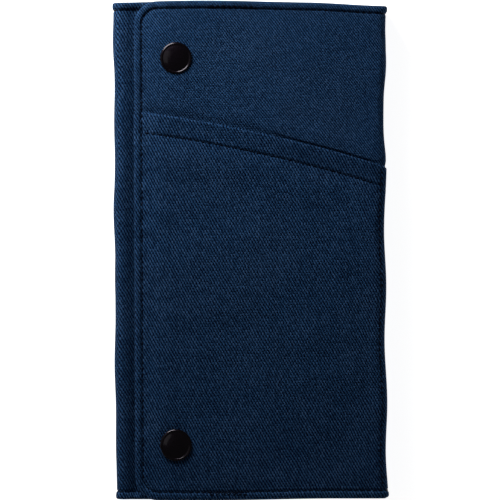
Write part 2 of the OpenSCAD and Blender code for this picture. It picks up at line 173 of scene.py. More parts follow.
# Half the height of the cloth at s: it grows along an arc from the free edge
def reachAt(s, corner, freeAt, grow=0.0):
    a = np.clip(np.abs(s - freeAt), 0, corner)
    arc = np.sqrt(np.maximum(corner**2 - (corner - a) ** 2, 0))
    return case["halfHeight"] + grow - corner + arc


# 1 at the very edge, and 0 where the cloth has rounded over onto the flat, along a quarter circle
def rollOver(d):
    t = np.clip(d / seam["roll"], 0, 1)
    return 1 - np.sqrt(1 - (1 - t) ** 2)


# Keeps slack cloth from dipping into what lies under it: a wave levels off towards most
def soften(wave, most=1.2):
    return most * np.tanh(wave / most)


# The turned-in seam stands up as a band, and the row of stitches pulls a groove beside it
def seamProfile(d):
    inner = seam["stitchIn"]
    band = 1 - ramp(d, inner - 0.5 * mm, inner + 0.5 * mm)
    crown = 0.35 + 0.65 * np.sqrt(np.clip(1 - ((d - inner / 2) / (inner / 2 + 0.6 * mm)) ** 2, 0, 1))
    return seam["raise"] * band * crown - seam["groove"] * hump(d - inner, seam["grooveWidth"])


# The cloth gathers a little between stitches, most of all just inside the groove
def pucker(s, y, d):
    reach = hump(d - seam["stitchIn"] - 1.2 * mm, 2.6 * mm)
    alongY = waves(y, 0 * y, seam["puckers"], 11, 5)
    alongS = waves(s, 0 * s, seam["puckers"], 12, 5)
    nearFree = ramp(case["halfHeight"] - np.abs(y), 4 * mm, 12 * mm)
    return seam["pucker"] * reach * (alongY * nearFree + alongS * (1 - nearFree))


# 1 between two places on the path, with a smooth rise before the first and fall after the second
def between(s, rise, first, second, fall):
    return ramp(s, first - rise, first) * (1 - ramp(s, second, second + fall))


# Sideways drift of the soft sides: an eighth power draws the spine in, and the left side leans evenly
def sway(s, y):
    fromTop = 1 - y / case["halfHeight"]
    atSpine = between(s, 22 * mm, coverEnd + 2 * mm, foldTwoEnd - 2 * mm, 22 * mm)
    atSide = between(s, 20 * mm, backEnd, foldFourEnd, 12 * mm)
    atFree = 1 - ramp(s, 0, 30 * mm)
    drawn = -drift["spineIn"] * (1 - (1 - fromTop) ** 8) + drift["spineWave"] * waves(y, 0 * y, 62 * mm, 5, 4)
    leaning = drift["sideOut"] * fromTop + drift["sideWave"] * waves(y, 0 * y, 45 * mm, 8, 4)
    return atSpine * np.minimum(drawn, 0.1 * mm) + atSide * leaning + atFree * drift["freeOut"] * fromTop


# The cover's free edge hangs down towards the flap, less beside the snaps that hold it
def droop(s, y):
    held = hump(np.abs(y) - snap["height"], 16 * mm)
    return -(drift["hang"] - drift["held"] * held) * (1 - ramp(s, 1 * mm, 19 * mm)) ** 1.4


# The top is fullest left of the middle, and its spine end is drawn in; the foot is drawn in past the middle
def bow(x, y):
    h = case["halfHeight"]
    atTop = drift["topUp"] * hump(x + 22 * mm, 42 * mm) - drift["topDown"] * ramp(x, 28 * mm, 65 * mm)
    atFoot = drift["footUp"] * ramp(x, -20 * mm, 40 * mm)
    return atTop * ramp(y, 0.45 * h, h) + atFoot * ramp(-y, 0.45 * h, h)


# A point of the case: the path at s, moved inwards by depth and then by the cloth's drift, never below z = 0
def casePoint(s, y, depth):
    heading = np.interp(s, wrap["stations"], wrap["turns"])
    nx, nz = -np.sin(heading), np.cos(heading)
    x = np.interp(s, wrap["s"], wrap["x"]) - nx * depth + sway(s, y)
    z = np.interp(s, wrap["s"], wrap["z"]) - nz * depth + droop(s, y) * (s < coverEnd)
    return np.stack([x, y + bow(x, y), np.maximum(z, 0.0)], axis=-1)


# meshes

# Faces of a grid of points, joined round where it is closed
def gridFaces(rows, columns, closedRows=False, closedColumns=False):
    i = np.arange(rows if closedRows else rows - 1)
    j = np.arange(columns if closedColumns else columns - 1)
    i, j = np.meshgrid(i, j, indexing="ij")
    iNext, jNext = (i + 1) % rows, (j + 1) % columns
    corners = [i * columns + j, iNext * columns + j, iNext * columns + jNext, i * columns + jNext]
    return np.stack([c.ravel() for c in corners], axis=1)


clothMap = "clothMap"


# Puts points, four-cornered faces and the weave's map into a new object. Faces are turned to point along
# outward, or without it so that the volume that they close is positive.
def addMesh(name, points, faces, material, mapping=None, outward=None):
    points = np.asarray(points, float).reshape(-1, 3)
    a, b, c, d = (points[faces[:, k]] for k in range(4))
    facing = np.cross(c - a, d - b)
    if outward is None:
        inside = np.einsum("ij,ij->", (a + c) / 2, facing) < 0
    else:
        outward = np.broadcast_to(np.reshape(outward, (-1, 3)), points.shape)
        inside = np.einsum("ij,ij->", outward[faces[:, 0]], facing) < 0
    if inside:
        faces = faces[:, ::-1]
    mesh = bpy.data.meshes.new(name)
    mesh.from_pydata(points, [], faces)
    if mapping is None:
        mapping = points[:, :2]
    layer = mesh.uv_layers.new(name=clothMap)
    layer.data.foreach_set("uv", np.asarray(mapping, float).reshape(-1, 2)[faces.ravel()].ravel())
    mesh.polygons.foreach_set("use_smooth", np.ones(len(faces), bool))
    mesh.materials.append(material)
    mesh.update()
    piece = bpy.data.objects.new(name, mesh)
    bpy.context.collection.objects.link(piece)
    return piece


# Copies of one small shape as one piece: each stands at its place, along its own three directions
def addCopies(name, unit, faces, places, directions, material):
    points = places[:, None, :] + np.einsum("vk,ckd->cvd", unit, np.stack(directions, axis=1))
    allFaces = (faces[None, :, :] + len(unit) * np.arange(len(places))[:, None, None]).reshape(-1, 4)
    mapping = np.tile(unit[:, :2], (len(places), 1))
    return addMesh(name, points, allFaces, material, mapping)


# Gives a sheet its thickness, inwards from the surface that shows
def thicken(piece, thick):
    solid = piece.modifiers.new("cloth", "SOLIDIFY")
    solid.thickness = thick
    solid.offset = -1
    solid.use_even_offset = False
    return piece


# Distances from an edge, close together where the cloth rolls over and is stitched
closeSteps = np.concatenate([
    seam["roll"] * (1 - np.cos(np.linspace(0, np.pi / 2, 6))),
    np.arange(seam["roll"] + 0.35 * mm, 7 * mm, 0.36 * mm),
])


# Places from low to high, with the close steps at the ends that are free and even ones between
def samples(low, high, step, freeLow=True, freeHigh=True):
    head = low + closeSteps if freeLow else np.array([low])
    tail = high - closeSteps[::-1] if freeHigh else np.array([high])
    count = max(2, int(round((tail[0] - head[-1]) / step)) + 1)
    middle = np.linspace(head[-1], tail[0], count)[1:-1]
    return np.concatenate([head, middle, tail])


# Directions of length 1
def unitLength(directions):
    return directions / np.linalg.norm(directions, axis=-1, keepdims=True)


# Distance along a line of points, from its first to each of them
def runningLength(line):
    return np.concatenate([[0], np.cumsum(np.linalg.norm(np.diff(line, axis=0), axis=1))])


# stitches

stitch = {
    "pitch": 3.0 * mm,      # from one stitch of the case to the next
    "length": 1.95 * mm, "width": 0.86 * mm, "height": 0.62 * mm,
    "raised": 0.10 * mm,    # its middle above the cloth
    "skew": 0.05,           # how unevenly stitches lie
}


# One stitch is a long low egg: rings whose width follows a flattened half circle along it
def stitchUnit(rings=5, sides=6):
    along = np.linspace(0, np.pi, rings)
    turn = np.linspace(0, 2 * np.pi, sides, endpoint=False)
    a, r = np.meshgrid(along, turn, indexing="ij")
    size = np.sin(np.clip(a, 0.18, np.pi - 0.18)) ** 0.6
    points = np.stack([
        -np.cos(a) * stitch["length"] / 2,
        np.cos(r) * size * stitch["width"] / 2,
        np.sin(r) * size * stitch["height"] / 2,
    ], axis=-1)
    return points.reshape(-1, 3), gridFaces(rings, sides, closedColumns=True)


# Values given at the points of a line, found again at other distances along it
def alongLine(at, along, values):
    return np.stack([np.interp(at, along, values[:, k]) for k in range(3)], axis=1)


# A row of stitches a pitch apart along a line of points: each follows the line over 0.8 mm, stands on the
# surface whose normals are given, and is skewed a little at random
def stitchRow(name, line, normals, material, pitch=stitch["pitch"]):
    along = runningLength(line)
    at = np.arange(pitch / 2, along[-1] - pitch / 2, pitch)
    reach = 0.4 * mm
    forward = unitLength(alongLine(at + reach, along, line) - alongLine(at - reach, along, line))
    upward = alongLine(at, along, np.broadcast_to(normals, line.shape))
    upward = unitLength(upward - forward * np.sum(upward * forward, axis=1, keepdims=True))
    sideways = np.cross(upward, forward)
    skew = stitch["skew"] * (np.random.default_rng(len(at)).random((len(at), 1)) - 0.5)
    places = alongLine(at, along, line) + stitch["raised"] * upward
    unit, faces = stitchUnit()
    return addCopies(name, unit, faces, places, [forward + skew * sideways, sideways, upward], material)


print("maths and mesh helpers ready")

# materials


# Adds a node, and gives each of its inputs a number, a colour or another node's output
def addNode(tree, kind, inputs=None, **settings):
    node = tree.nodes.new(kind)
    for name, value in settings.items():
        setattr(node, name, value)
    for name, value in (inputs or {}).items():
        if isinstance(value, bpy.types.NodeSocket):
            tree.links.new(value, node.inputs[name])
        else:
            node.inputs[name].default_value = value
    return node


# One sum on up to three values
def math(tree, operation, a, b=0.0, c=0.0, clamp=False):
    node = addNode(tree, "ShaderNodeMath", {0: a, 1: b, 2: c}, operation=operation, use_clamp=clamp)
    return node.outputs[0]


# Cloudy noise between 0 and 1, in features of about 1 / scale
def noise(tree, vector, scale, detail=3.0, rough=0.55):
    inputs = {"Vector": vector, "Scale": scale, "Detail": detail, "Roughness": rough}
    return addNode(tree, "ShaderNodeTexNoise", inputs).outputs["Fac"]


# Moves a value from one range to another along a straight line, and stops it at both ends
def spread(tree, value, fromLow, fromHigh, toLow, toHigh):
    inputs = {"Value": value, "From Min": fromLow, "From Max": fromHigh, "To Min": toLow, "To Max": toHigh}
    return addNode(tree, "ShaderNodeMapRange", inputs).outputs[0]


# Goes from colour a to colour b as the factor goes from 0 to 1
def mixColour(tree, factor, a, b):
    return addNode(tree, "ShaderNodeMix", {0: factor, 6: a, 7: b}, data_type="RGBA").outputs[2]


# Round ridges side by side, count of them for each unit of value: the size of a sine, which is 0 between them
def ridges(tree, value, count):
    turns = math(tree, "MULTIPLY", value, count)
    return math(tree, "ABSOLUTE", math(tree, "SINE", math(tree, "MULTIPLY", turns, np.pi)))


# A new node group with its sockets; gives the group, its input node's outputs and its output node's inputs
def newGroup(name, inputs, outputs):
    group = bpy.data.node_groups.new(name, "ShaderNodeTree")
    for socket, kind in inputs:
        group.interface.new_socket(name=socket, in_out="INPUT", socket_type=kind)
    for socket, kind in outputs:
        group.interface.new_socket(name=socket, in_out="OUTPUT", socket_type=kind)
    return group, group.nodes.new("NodeGroupInput").outputs, group.nodes.new("NodeGroupOutput").inputs


number, vector = "NodeSocketFloat", "NodeSocketVector"


# Plain weave: each yarn is a sine ridge that goes over and under the other set in turn, and the higher one
# shows. A slant term is added to each float, so that one diagonal of the pattern is the stronger.
def makeWeaveGroup():
    inputs = [("Place", vector), ("Warp Yarns", number), ("Weft Yarns", number), ("Unevenness", number),
              ("Slant", number)]
    outputs = [("Height", number), ("Float", number), ("Tone", number), ("Speck", number)]
    t, given, result = newGroup("plainWeave", inputs, outputs)
    wander = addNode(t, "ShaderNodeTexNoise", {"Vector": given["Place"], "Scale": 95.0, "Detail": 2.0})
    centred = {0: wander.outputs["Color"], 1: (0.5, 0.5, 0.5)}
    shift = addNode(t, "ShaderNodeVectorMath", centred, operation="SUBTRACT")
    amount = math(t, "MULTIPLY", given["Unevenness"], 0.0016)
    scaled = addNode(t, "ShaderNodeVectorMath", {0: shift.outputs[0], "Scale": amount}, operation="SCALE")
    moved = addNode(t, "ShaderNodeVectorMath", {0: given["Place"], 1: scaled.outputs[0]}, operation="ADD")
    split = addNode(t, "ShaderNodeSeparateXYZ", {0: moved.outputs[0]})
    u = math(t, "MULTIPLY", split.outputs[0], given["Warp Yarns"])
    v = math(t, "MULTIPLY", split.outputs[1], given["Weft Yarns"])
    turnU, turnV = math(t, "MULTIPLY", u, np.pi), math(t, "MULTIPLY", v, np.pi)
    sineU, sineV = math(t, "SINE", turnU), math(t, "SINE", turnV)
    both = math(t, "MULTIPLY", math(t, "MULTIPLY", sineU, sineV), 0.5)
    warp = math(t, "MULTIPLY_ADD", math(t, "ABSOLUTE", sineU), 0.5, both)
    weft = math(t, "SUBTRACT", math(t, "MULTIPLY", math(t, "ABSOLUTE", sineV), 0.5), both)
    cosines = math(t, "MULTIPLY", math(t, "COSINE", turnU), math(t, "COSINE", turnV))
    slantTerm = math(t, "MULTIPLY", cosines, 0.5)
    slanted = math(t, "MULTIPLY", slantTerm, given["Slant"])
    warpFloat = math(t, "ADD", math(t, "ADD", both, 0.5), slanted, clamp=True)
    # each yarn keeps its own shade along its length
    yarnU, yarnV = math(t, "FLOOR", u), math(t, "FLOOR", v)
    warpYarn = addNode(t, "ShaderNodeCombineXYZ", {0: yarnU, 1: math(t, "MULTIPLY", v, 0.035)})
    weftYarn = addNode(t, "ShaderNodeCombineXYZ", {0: math(t, "MULTIPLY", u, 0.035), 1: yarnV})
    tone = math(t, "ADD", noise(t, warpYarn.outputs[0], 0.9, 2.0), noise(t, weftYarn.outputs[0], 0.9, 2.0))
    t.links.new(math(t, "MAXIMUM", warp, weft), result["Height"])
    t.links.new(warpFloat, result["Float"])
    t.links.new(math(t, "MULTIPLY", tone, 0.5), result["Tone"])
    # every crossing catches the light a little differently
    crossing = addNode(t, "ShaderNodeCombineXYZ", {0: yarnU, 1: yarnV})
    speck = addNode(t, "ShaderNodeTexWhiteNoise", {"Vector": crossing.outputs[0]}, noise_dimensions="2D")
    t.links.new(speck.outputs["Value"], result["Speck"])
    return t


# Ribbed tape: round ribs in one direction, crossed by a finer thread
def makeRibGroup():
    inputs = [("Place", vector), ("Ribs", number), ("Cross", number)]
    t, given, result = newGroup("ribbedTape", inputs, [("Height", number)])
    split = addNode(t, "ShaderNodeSeparateXYZ", {0: given["Place"]})
    rib = ridges(t, split.outputs[1], given["Ribs"])
    cross = ridges(t, split.outputs[0], given["Cross"])
    t.links.new(math(t, "MULTIPLY_ADD", rib, 0.75, math(t, "MULTIPLY", cross, 0.25)), result["Height"])
    return t


# Fine uneven grain with a few long hairline scratches, for metal and moulded plastic
def makeGrainGroup():
    inputs = [("Place", vector), ("Scale", number)]
    t, given, result = newGroup("fineGrain", inputs, [("Grain", number), ("Scratch", number)])
    grain = noise(t, given["Place"], given["Scale"], 4.0, 0.6)
    longWay = {"Vector": given["Place"], "Rotation": (0.0, 0.0, 0.6), "Scale": (1.0, 14.0, 14.0)}
    stretched = addNode(t, "ShaderNodeMapping", longWay)
    lines = noise(t, stretched.outputs[0], given["Scale"], 2.0, 0.5)
    t.links.new(grain, result["Grain"])
    t.links.new(spread(t, lines, 0.66, 0.74, 0.0, 1.0), result["Scratch"])
    return t


weaveGroup, ribGroup, grainGroup = makeWeaveGroup(), makeRibGroup(), makeGrainGroup()


# A new material, its nodes and its main shader
def newMaterial(name):
    material = bpy.data.materials.new(name)
    material.use_nodes = True
    tree = material.node_tree
    return material, tree, tree.nodes["Principled BSDF"]


# Gives a shader's inputs fixed values
def setSockets(shader, values):
    for name, value in values.items():
        shader.inputs[name].default_value = value


# Lets a height of 0 to 1 stand as high as distance
def bump(tree, shader, height, distance):
    node = addNode(tree, "ShaderNodeBump", {"Height": height, "Distance": distance, "Strength": 1.0})
    tree.links.new(node.outputs[0], shader.inputs["Normal"])


# Cloths: a dark shade between the yarns and a light one on top of a yarn, whose contrast is partly painted
# shade and painted light on the real weave, then a paler shade for a painted highlight on the yarn tops; yarns
# in a metre along the path and along the height; how high they stand; then roughness, gloss and contrast
canvasShades = ((0.0001, 0.0016, 0.0110), (0.0240, 0.0820, 0.2000), (0.0900, 0.1500, 0.2700))
liningShades = ((0.0120, 0.0180, 0.0320), (0.0480, 0.0680, 0.1080), (0.060, 0.082, 0.125))
pocketShades = ((0.0120, 0.0210, 0.0420), (0.0560, 0.0840, 0.1450), (0.070, 0.100, 0.165))
cloths = {
    "canvasCloth": (canvasShades, (1389.0, 787.0), 0.14 * mm, 0.86, 0.04, 1.3),
    "fineCanvas": (canvasShades, (1515.0, 1190.0), 0.14 * mm, 0.86, 0.04, 1.3),
    "liningCloth": (liningShades, (3400.0, 3000.0), 0.05 * mm, 0.55, 0.20),
    "pocketCloth": (pocketShades, (3000.0, 2600.0), 0.06 * mm, 0.58, 0.20),
}
# Tapes: dark and light shade, ribs and crossing threads in a metre, how high they stand, and roughness
tapes = {
    "bindingTape": ((0.0030, 0.0080, 0.0220), (0.0160, 0.0380, 0.0900), 1500.0, 3200.0, 0.10 * mm, 0.62),
    "elasticTape": ((0.0030, 0.0050, 0.0110), (0.0140, 0.0210, 0.0430), 900.0, 1800.0, 0.16 * mm, 0.70),
    "zipTape": ((0.0030, 0.0070, 0.0180), (0.0150, 0.0310, 0.0700), 1900.0, 1900.0, 0.08 * mm, 0.66),
    "thread": ((0.0002, 0.0012, 0.0042), (0.0020, 0.0095, 0.0290), 900.0, 3400.0, 0.05 * mm, 0.50),
}
# Hard finishes: base and worn shade, metallic, roughness and the grain's scale, then scratches and coat
finishes = {
    "gunmetal": ((0.0042, 0.0006, 0.0052), (0.0060, 0.0022, 0.0070), 0.85, 0.27, 700.0, 0.20, 0.55),
    "sliderMetal": ((0.090, 0.087, 0.092), (0.22, 0.21, 0.20), 0.95, 0.30, 900.0),
    "nickel": ((0.56, 0.55, 0.52), (0.70, 0.69, 0.66), 1.0, 0.24, 800.0),
    "coilPlastic": ((0.0090, 0.0180, 0.0420), (0.018, 0.032, 0.070), 0.0, 0.36, 1200.0),
    "ringPlastic": ((0.010, 0.011, 0.014), (0.020, 0.022, 0.027), 0.0, 0.34, 600.0, 0.25, 0.15),
    "sealPlastic": ((0.010, 0.055, 0.20), (0.018, 0.08, 0.26), 0.0, 0.30, 500.0),
    "boardPaper": ((0.30, 0.275, 0.235), (0.40, 0.37, 0.32), 0.0, 0.85, 900.0, 0.5),
}


# Woven cloth: a float's share of the crossing sets its shade, fuzz and each yarn's own tone are added, and the
# result to the power 1.25 goes from the dark shade to the light one, the real weave drawn in painted shade
# between the yarns and painted light on their tops; a painted highlight at random crossings and in patches
# goes on to the paler third shade
def clothMaterial(name, shades, yarns, depth, roughness, gloss, contrast=1.0):
    dark, light, glintShade = ((*shade, 1) for shade in shades)
    material, tree, shader = newMaterial(name)
    place = addNode(tree, "ShaderNodeUVMap", uv_map=clothMap).outputs[0]
    laid = {"Place": place, "Warp Yarns": yarns[0], "Weft Yarns": yarns[1]}
    laid.update({"Unevenness": 0.75, "Slant": -0.50})
    weave = addNode(tree, "ShaderNodeGroup", laid, node_tree=weaveGroup)
    patches = noise(tree, place, 24.0, 4.0, 0.6)
    fuzz = noise(tree, place, 1300.0, 2.0, 0.7)
    height, speck = weave.outputs["Height"], weave.outputs["Speck"]
    reach = 0.5 / contrast
    shade = spread(tree, weave.outputs["Float"], 0.5 - reach, 0.5 + reach, 0.0, 1.0)
    tone = spread(tree, weave.outputs["Tone"], 0.35, 0.65, -0.5, 0.5)
    shade = math(tree, "MULTIPLY_ADD", tone, 0.16, shade)
    shade = math(tree, "MULTIPLY_ADD", spread(tree, fuzz, 0.3, 0.7, -0.5, 0.5), 0.80, shade, clamp=True)
    brightness = spread(tree, speck, 0.0, 1.0, 0.62, 1.25)
    shade = math(tree, "MULTIPLY", math(tree, "POWER", shade, 1.25), brightness, clamp=True)
    # painted shade and light: the weave's floats go from a dark shade between the yarns to a light one on
    # their tops
    woven = mixColour(tree, shade, dark, light)
    # painted highlight: the brightest crossings and random patches of the yarn tops go towards a paler shade
    glint = spread(tree, speck, 0.60, 1.0, 0.0, 0.20)
    glint = math(tree, "ADD", spread(tree, patches, 0.45, 0.75, 0.0, 0.12), glint)
    glintShare = math(tree, "MULTIPLY", glint, shade, clamp=True)
    tree.links.new(mixColour(tree, glintShare, woven, glintShade), shader.inputs["Base Color"])
    rough = spread(tree, height, 0.2, 1.0, roughness + 0.10, roughness - 0.06)
    tree.links.new(rough, shader.inputs["Roughness"])
    bump(tree, shader, math(tree, "MULTIPLY_ADD", fuzz, 0.18, height), depth)
    setSockets(shader, {"Specular IOR Level": gloss})
    return material


# Ribbed tape or thread: the rib's height, with fuzz added, goes from the dark shade to the light one
def ribMaterial(name, dark, light, ribs, cross, depth, roughness):
    material, tree, shader = newMaterial(name)
    place = addNode(tree, "ShaderNodeUVMap", uv_map=clothMap).outputs[0]
    rib = addNode(tree, "ShaderNodeGroup", {"Place": place, "Ribs": ribs, "Cross": cross}, node_tree=ribGroup)
    fuzz = spread(tree, noise(tree, place, 900.0, 2.0, 0.7), 0.3, 0.7, -0.5, 0.5)
    shade = math(tree, "MULTIPLY_ADD", fuzz, 0.4, rib.outputs[0], clamp=True)
    tree.links.new(mixColour(tree, shade, (*dark, 1), (*light, 1)), shader.inputs["Base Color"])
    rough = spread(tree, shade, 0.0, 1.0, roughness + 0.08, roughness - 0.08)
    tree.links.new(rough, shader.inputs["Roughness"])
    bump(tree, shader, rib.outputs[0], depth)
    setSockets(shader, {"Specular IOR Level": 0.06})
    return material


# Metal, moulded plastic or board: grain goes half way from the base shade to the worn, and scratches further
def hardMaterial(name, base, worn, metallic, roughness, scale, scratches=0.35, coat=0.0):
    material, tree, shader = newMaterial(name)
    place = addNode(tree, "ShaderNodeTexCoord").outputs["Object"]
    grain = addNode(tree, "ShaderNodeGroup", {"Place": place, "Scale": scale}, node_tree=grainGroup)
    patches = spread(tree, grain.outputs["Grain"], 0.35, 0.65, 0.0, 0.5)
    tone = math(tree, "MULTIPLY_ADD", grain.outputs["Scratch"], scratches, patches, clamp=True)
    tree.links.new(mixColour(tree, tone, (*base, 1), (*worn, 1)), shader.inputs["Base Color"])
    rough = spread(tree, grain.outputs["Grain"], 0.3, 0.7, roughness - 0.05, roughness + 0.07)
    rough = math(tree, "MULTIPLY_ADD", grain.outputs["Scratch"], 0.12, rough)
    tree.links.new(rough, shader.inputs["Roughness"])
    bump(tree, shader, grain.outputs["Grain"], 0.02 * mm)
    setSockets(shader, {"Metallic": metallic, "Coat Weight": coat, "Coat Roughness": 0.12})
    return material


# Clear film: hardly any colour, a soft gloss, and a cloudy weld where the two films meet round the edge.
# The map's first value is the distance from that edge.
def filmMaterial(name, tint, clear, cloudy):
    material, tree, shader = newMaterial(name)
    place = addNode(tree, "ShaderNodeUVMap", uv_map=clothMap).outputs[0]
    split = addNode(tree, "ShaderNodeSeparateXYZ", {0: place})
    weld = math(tree, "SUBTRACT", 1.0, spread(tree, split.outputs[0], 1.9 * mm, 2.3 * mm, 0.0, 1.0))
    ribs = math(tree, "ABSOLUTE", math(tree, "SINE", math(tree, "MULTIPLY", split.outputs[1], 2600.0)))
    haze = spread(tree, noise(tree, place, 40.0, 3.0), 0.35, 0.7, 0.0, 0.06)
    alpha = math(tree, "MULTIPLY_ADD", weld, cloudy, math(tree, "ADD", haze, clear))
    tree.links.new(alpha, shader.inputs["Alpha"])
    tree.links.new(spread(tree, weld, 0.0, 1.0, 0.08, 0.35), shader.inputs["Roughness"])
    bump(tree, shader, math(tree, "MULTIPLY", ribs, weld), 0.08 * mm)
    setSockets(shader, {"Base Color": (*tint, 1), "Specular IOR Level": 0.6, "Coat Weight": 0.3})
    return material


canvasCloth, fineCanvas, liningCloth, pocketCloth = (
    clothMaterial(name, *look) for name, look in cloths.items()
)
bindingTape, elasticTape, zipTape, thread = (ribMaterial(name, *look) for name, look in tapes.items())
gunmetal, sliderMetal, nickel, coilPlastic, ringPlastic, sealPlastic, boardPaper = (
    hardMaterial(name, *look) for name, look in finishes.items()
)
clearFilm = filmMaterial("clearFilm", (0.80, 0.88, 0.93), 0.14, 0.34)
print("materials ready")

# outer cloth and lining

shellGrid = {"cover": 1.15 * mm, "back": 1.6 * mm, "lining": 1.7 * mm}   # from one row of points to the next
clothThick = {"outer": 0.6 * mm, "pocket": 0.55 * mm, "lining": 0.2 * mm}
slant = {
    "left": 66.4 * mm,                       # height of the mouth at the free edge
    "fall": 0.1295, "curve": 0.75,           # how it falls towards the spine, evenly and ever faster
    "seamAt": 117.6 * mm,                    # where its end is sewn down, over the fold
    "hem": 9.6 * mm,                         # from the mouth to the hem's stitches
    "rows": 53 * mm,                         # height of the cover's close rows before they follow the mouth
    "lift": 0.66 * mm,                       # the pocket's outer face above the cover
    "grow": 0.3 * mm,                        # how far its edge stands outside the cover's
}
zipValley = {"deep": 0.62 * mm, "floor": 5.0 * mm, "brink": 6.0 * mm}   # half widths of its floor and its top


# Height of the slanted mouth across the cover
def mouthAt(s):
    along = np.clip(s, 0, foldOneEnd)
    return slant["left"] - slant["fall"] * along - slant["curve"] * along**2


# Cloth under a snap's cap is pressed in, and stands up as a ring round it
def pressed(radius, deep, ringHigh):
    return ringHigh * hump(radius - snap["ring"], 4 * mm) - deep * hump(radius, snap["dent"])


# Outward swell of the cover's cloth: slack inside its seams, sunk under the pocket and drawn in at its mouth
def coverSwell(s, y):
    d = edgeDistance(s, y, case["coverCorner"], 0.0)
    inside = ramp(d, 3 * mm, 16 * mm)
    slack = 0.30 * mm * soften(waves(s, y, 58 * mm, 3)) + 0.07 * mm * waves(s, y, 17 * mm, 4)
    swell = slack * inside + seamProfile(d) + pucker(s, y, d)
    swell = swell + pressed(np.hypot(s - snap["onCover"], np.abs(y) - snap["height"]), 0.55 * mm, 0.22 * mm)
    underPocket = ramp(mouthAt(s) - y, 2 * mm, 7 * mm)
    opening = ramp(s / coverEnd, 0.45, 0.70) * (1 - ramp(s / coverEnd, 0.95, 1.03))
    above = y - mouthAt(s)
    brink = (0.48 + 0.42 * opening) * mm * (1 - ramp(above, 0.2 * mm, (3.6 - 2.2 * opening) * mm))
    bulge = 0.20 * mm * hump(above - 6 * mm, 4 * mm)
    swell = swell + ramp(s, 3.6 * mm, 9 * mm) * (bulge - brink * (1 - underPocket))
    return swell - 0.55 * mm * underPocket - thickness(s) / 2 * rollOver(d)


# The back lies on its raised seam, so its cloth only ever stands inwards from the plane it rests on
def backSwell(s, y):
    d = edgeDistance(s, y, noCorner, wrapEnd)
    inside = ramp(d, 4 * mm, 20 * mm)
    onBack = ramp(s, spineEnd, foldTwoEnd + 4 * mm) * (1 - ramp(s, backEnd - 4 * mm, foldThreeEnd))
    swell = 0.16 * mm * soften(waves(s, y, 50 * mm, 21)) * inside + seamProfile(d) + pucker(s, y, d)
    return swell - (seam["raise"] + 0.1 * mm) * onBack - thickness(s) / 2 * rollOver(d)


# How far the flap falls away beyond its fold, to go under the cover's edge
def flapDip(s):
    return 1.8 * mm * hump(s - foldFourEnd - 7.4 * mm, 3.1 * mm)


# Outward swell of the side's and the flap's cloth: fullest over the fold, and held down at the snaps
def flapSwell(s, y):
    d = edgeDistance(s, y, case["flapCorner"], wrapEnd)
    inside = ramp(d, 3 * mm, 14 * mm)
    swell = 0.26 * mm * soften(waves(s, y, 44 * mm, 31)) * inside + 0.8 * seamProfile(d) + pucker(s, y, d)
    puff = 0.5 * mm * ramp(s, sideEnd, foldFourEnd + 3 * mm) * inside
    puff = puff + 0.9 * mm * hump(s - foldFourEnd - 0.2 * mm, 2.6 * mm)
    puff = puff - flapDip(s) * ramp(d, 0.5 * mm, 5 * mm)
    radius = np.hypot(wrapEnd - s - snap["onFlap"], np.abs(y) - snap["height"])
    swell = swell + puff * (1 - hump(radius, 9 * mm)) - 0.1 * mm * hump(radius, 7 * mm)
    return swell - thickness(s) / 2 * rollOver(d)


# A grid over part of the case, from its free edge if it has one. Its rows follow the round corners, and on
# the cover the close rows follow the slanted mouth.
def shellGridPoints(sRange, step, corner, freeAt):
    freeLow = freeAt is not None and freeAt <= sRange[0]
    freeHigh = freeAt is not None and freeAt >= sRange[1]
    s = samples(*sRange, step, freeLow, freeHigh)
    half = case["halfHeight"]
    y = samples(-half, half, step)
    if freeLow:
        y = np.sort(np.concatenate([y, slant["rows"] + np.arange(-1.2 * mm, 5 * mm, 0.36 * mm)]))
    sGrid, share = np.meshgrid(s, y / half, indexing="ij")
    if freeLow:
        nearRows = 1 - ramp(np.abs(share * half - slant["rows"]), 8 * mm, 60 * mm)
        share = share + (mouthAt(sGrid) - slant["rows"]) / half * nearRows
    reach = half if freeAt is None else reachAt(sGrid, corner, freeAt)
    return sGrid, share * reach


# Outward direction of the case's path, for every point of a grid
def pathNormals(s):
    heading = np.interp(s, wrap["stations"], wrap["turns"])
    return np.stack([-np.sin(heading), 0 * s, np.cos(heading)], axis=-1)


# Depth of the lining below the outer face: it meets the outer cloth half way down the edge, is tucked in at
# the stitches, follows the flap's dip, and is slack on the cover
def liningDepth(s, y, corner, freeAt):
    d = edgeDistance(s, y, corner, wrapEnd if freeAt is None else freeAt)
    t, inner = thickness(s), seam["stitchIn"]
    atSeam = 1 - ramp(d, inner - 0.6 * mm, inner + 0.4 * mm)
    tuck = 0.16 * mm * hump(d - inner, seam["grooveWidth"]) - 0.10 * mm * atSeam
    slack = 0.10 * mm * soften(waves(s, y, 30 * mm, 41)) * ramp(d, 6 * mm, 16 * mm) * (s < coverEnd)
    return t - tuck + 0.55 * flapDip(s) * ramp(d, 0.5 * mm, 5 * mm) - t / 2 * rollOver(d) - slack


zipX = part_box("zip_teeth_left")[1][0] / 2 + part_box("zip_teeth_right")[0][0] / 2
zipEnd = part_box("zip_tape_left")[1][1]


# A valley in the back's lining is the zip pocket's mouth: flat between two smooth sides and two smooth ends
def zipMouth(s, y):
    x = np.interp(s, wrap["s"], wrap["x"])
    onBack = (s > foldTwoEnd) & (s < backEnd)
    across = 1 - ramp(np.abs(x - zipX), zipValley["floor"], zipValley["brink"])
    along = 1 - ramp(np.abs(y), zipEnd - 4 * mm, zipEnd - 2 * mm)
    return zipValley["deep"] * across * along * onBack


# Bakes a piece's placement into its mesh; its bodies and its fold are not used
def acrossFold(piece, flatBody, uprightBody, fold):
    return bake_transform(piece)


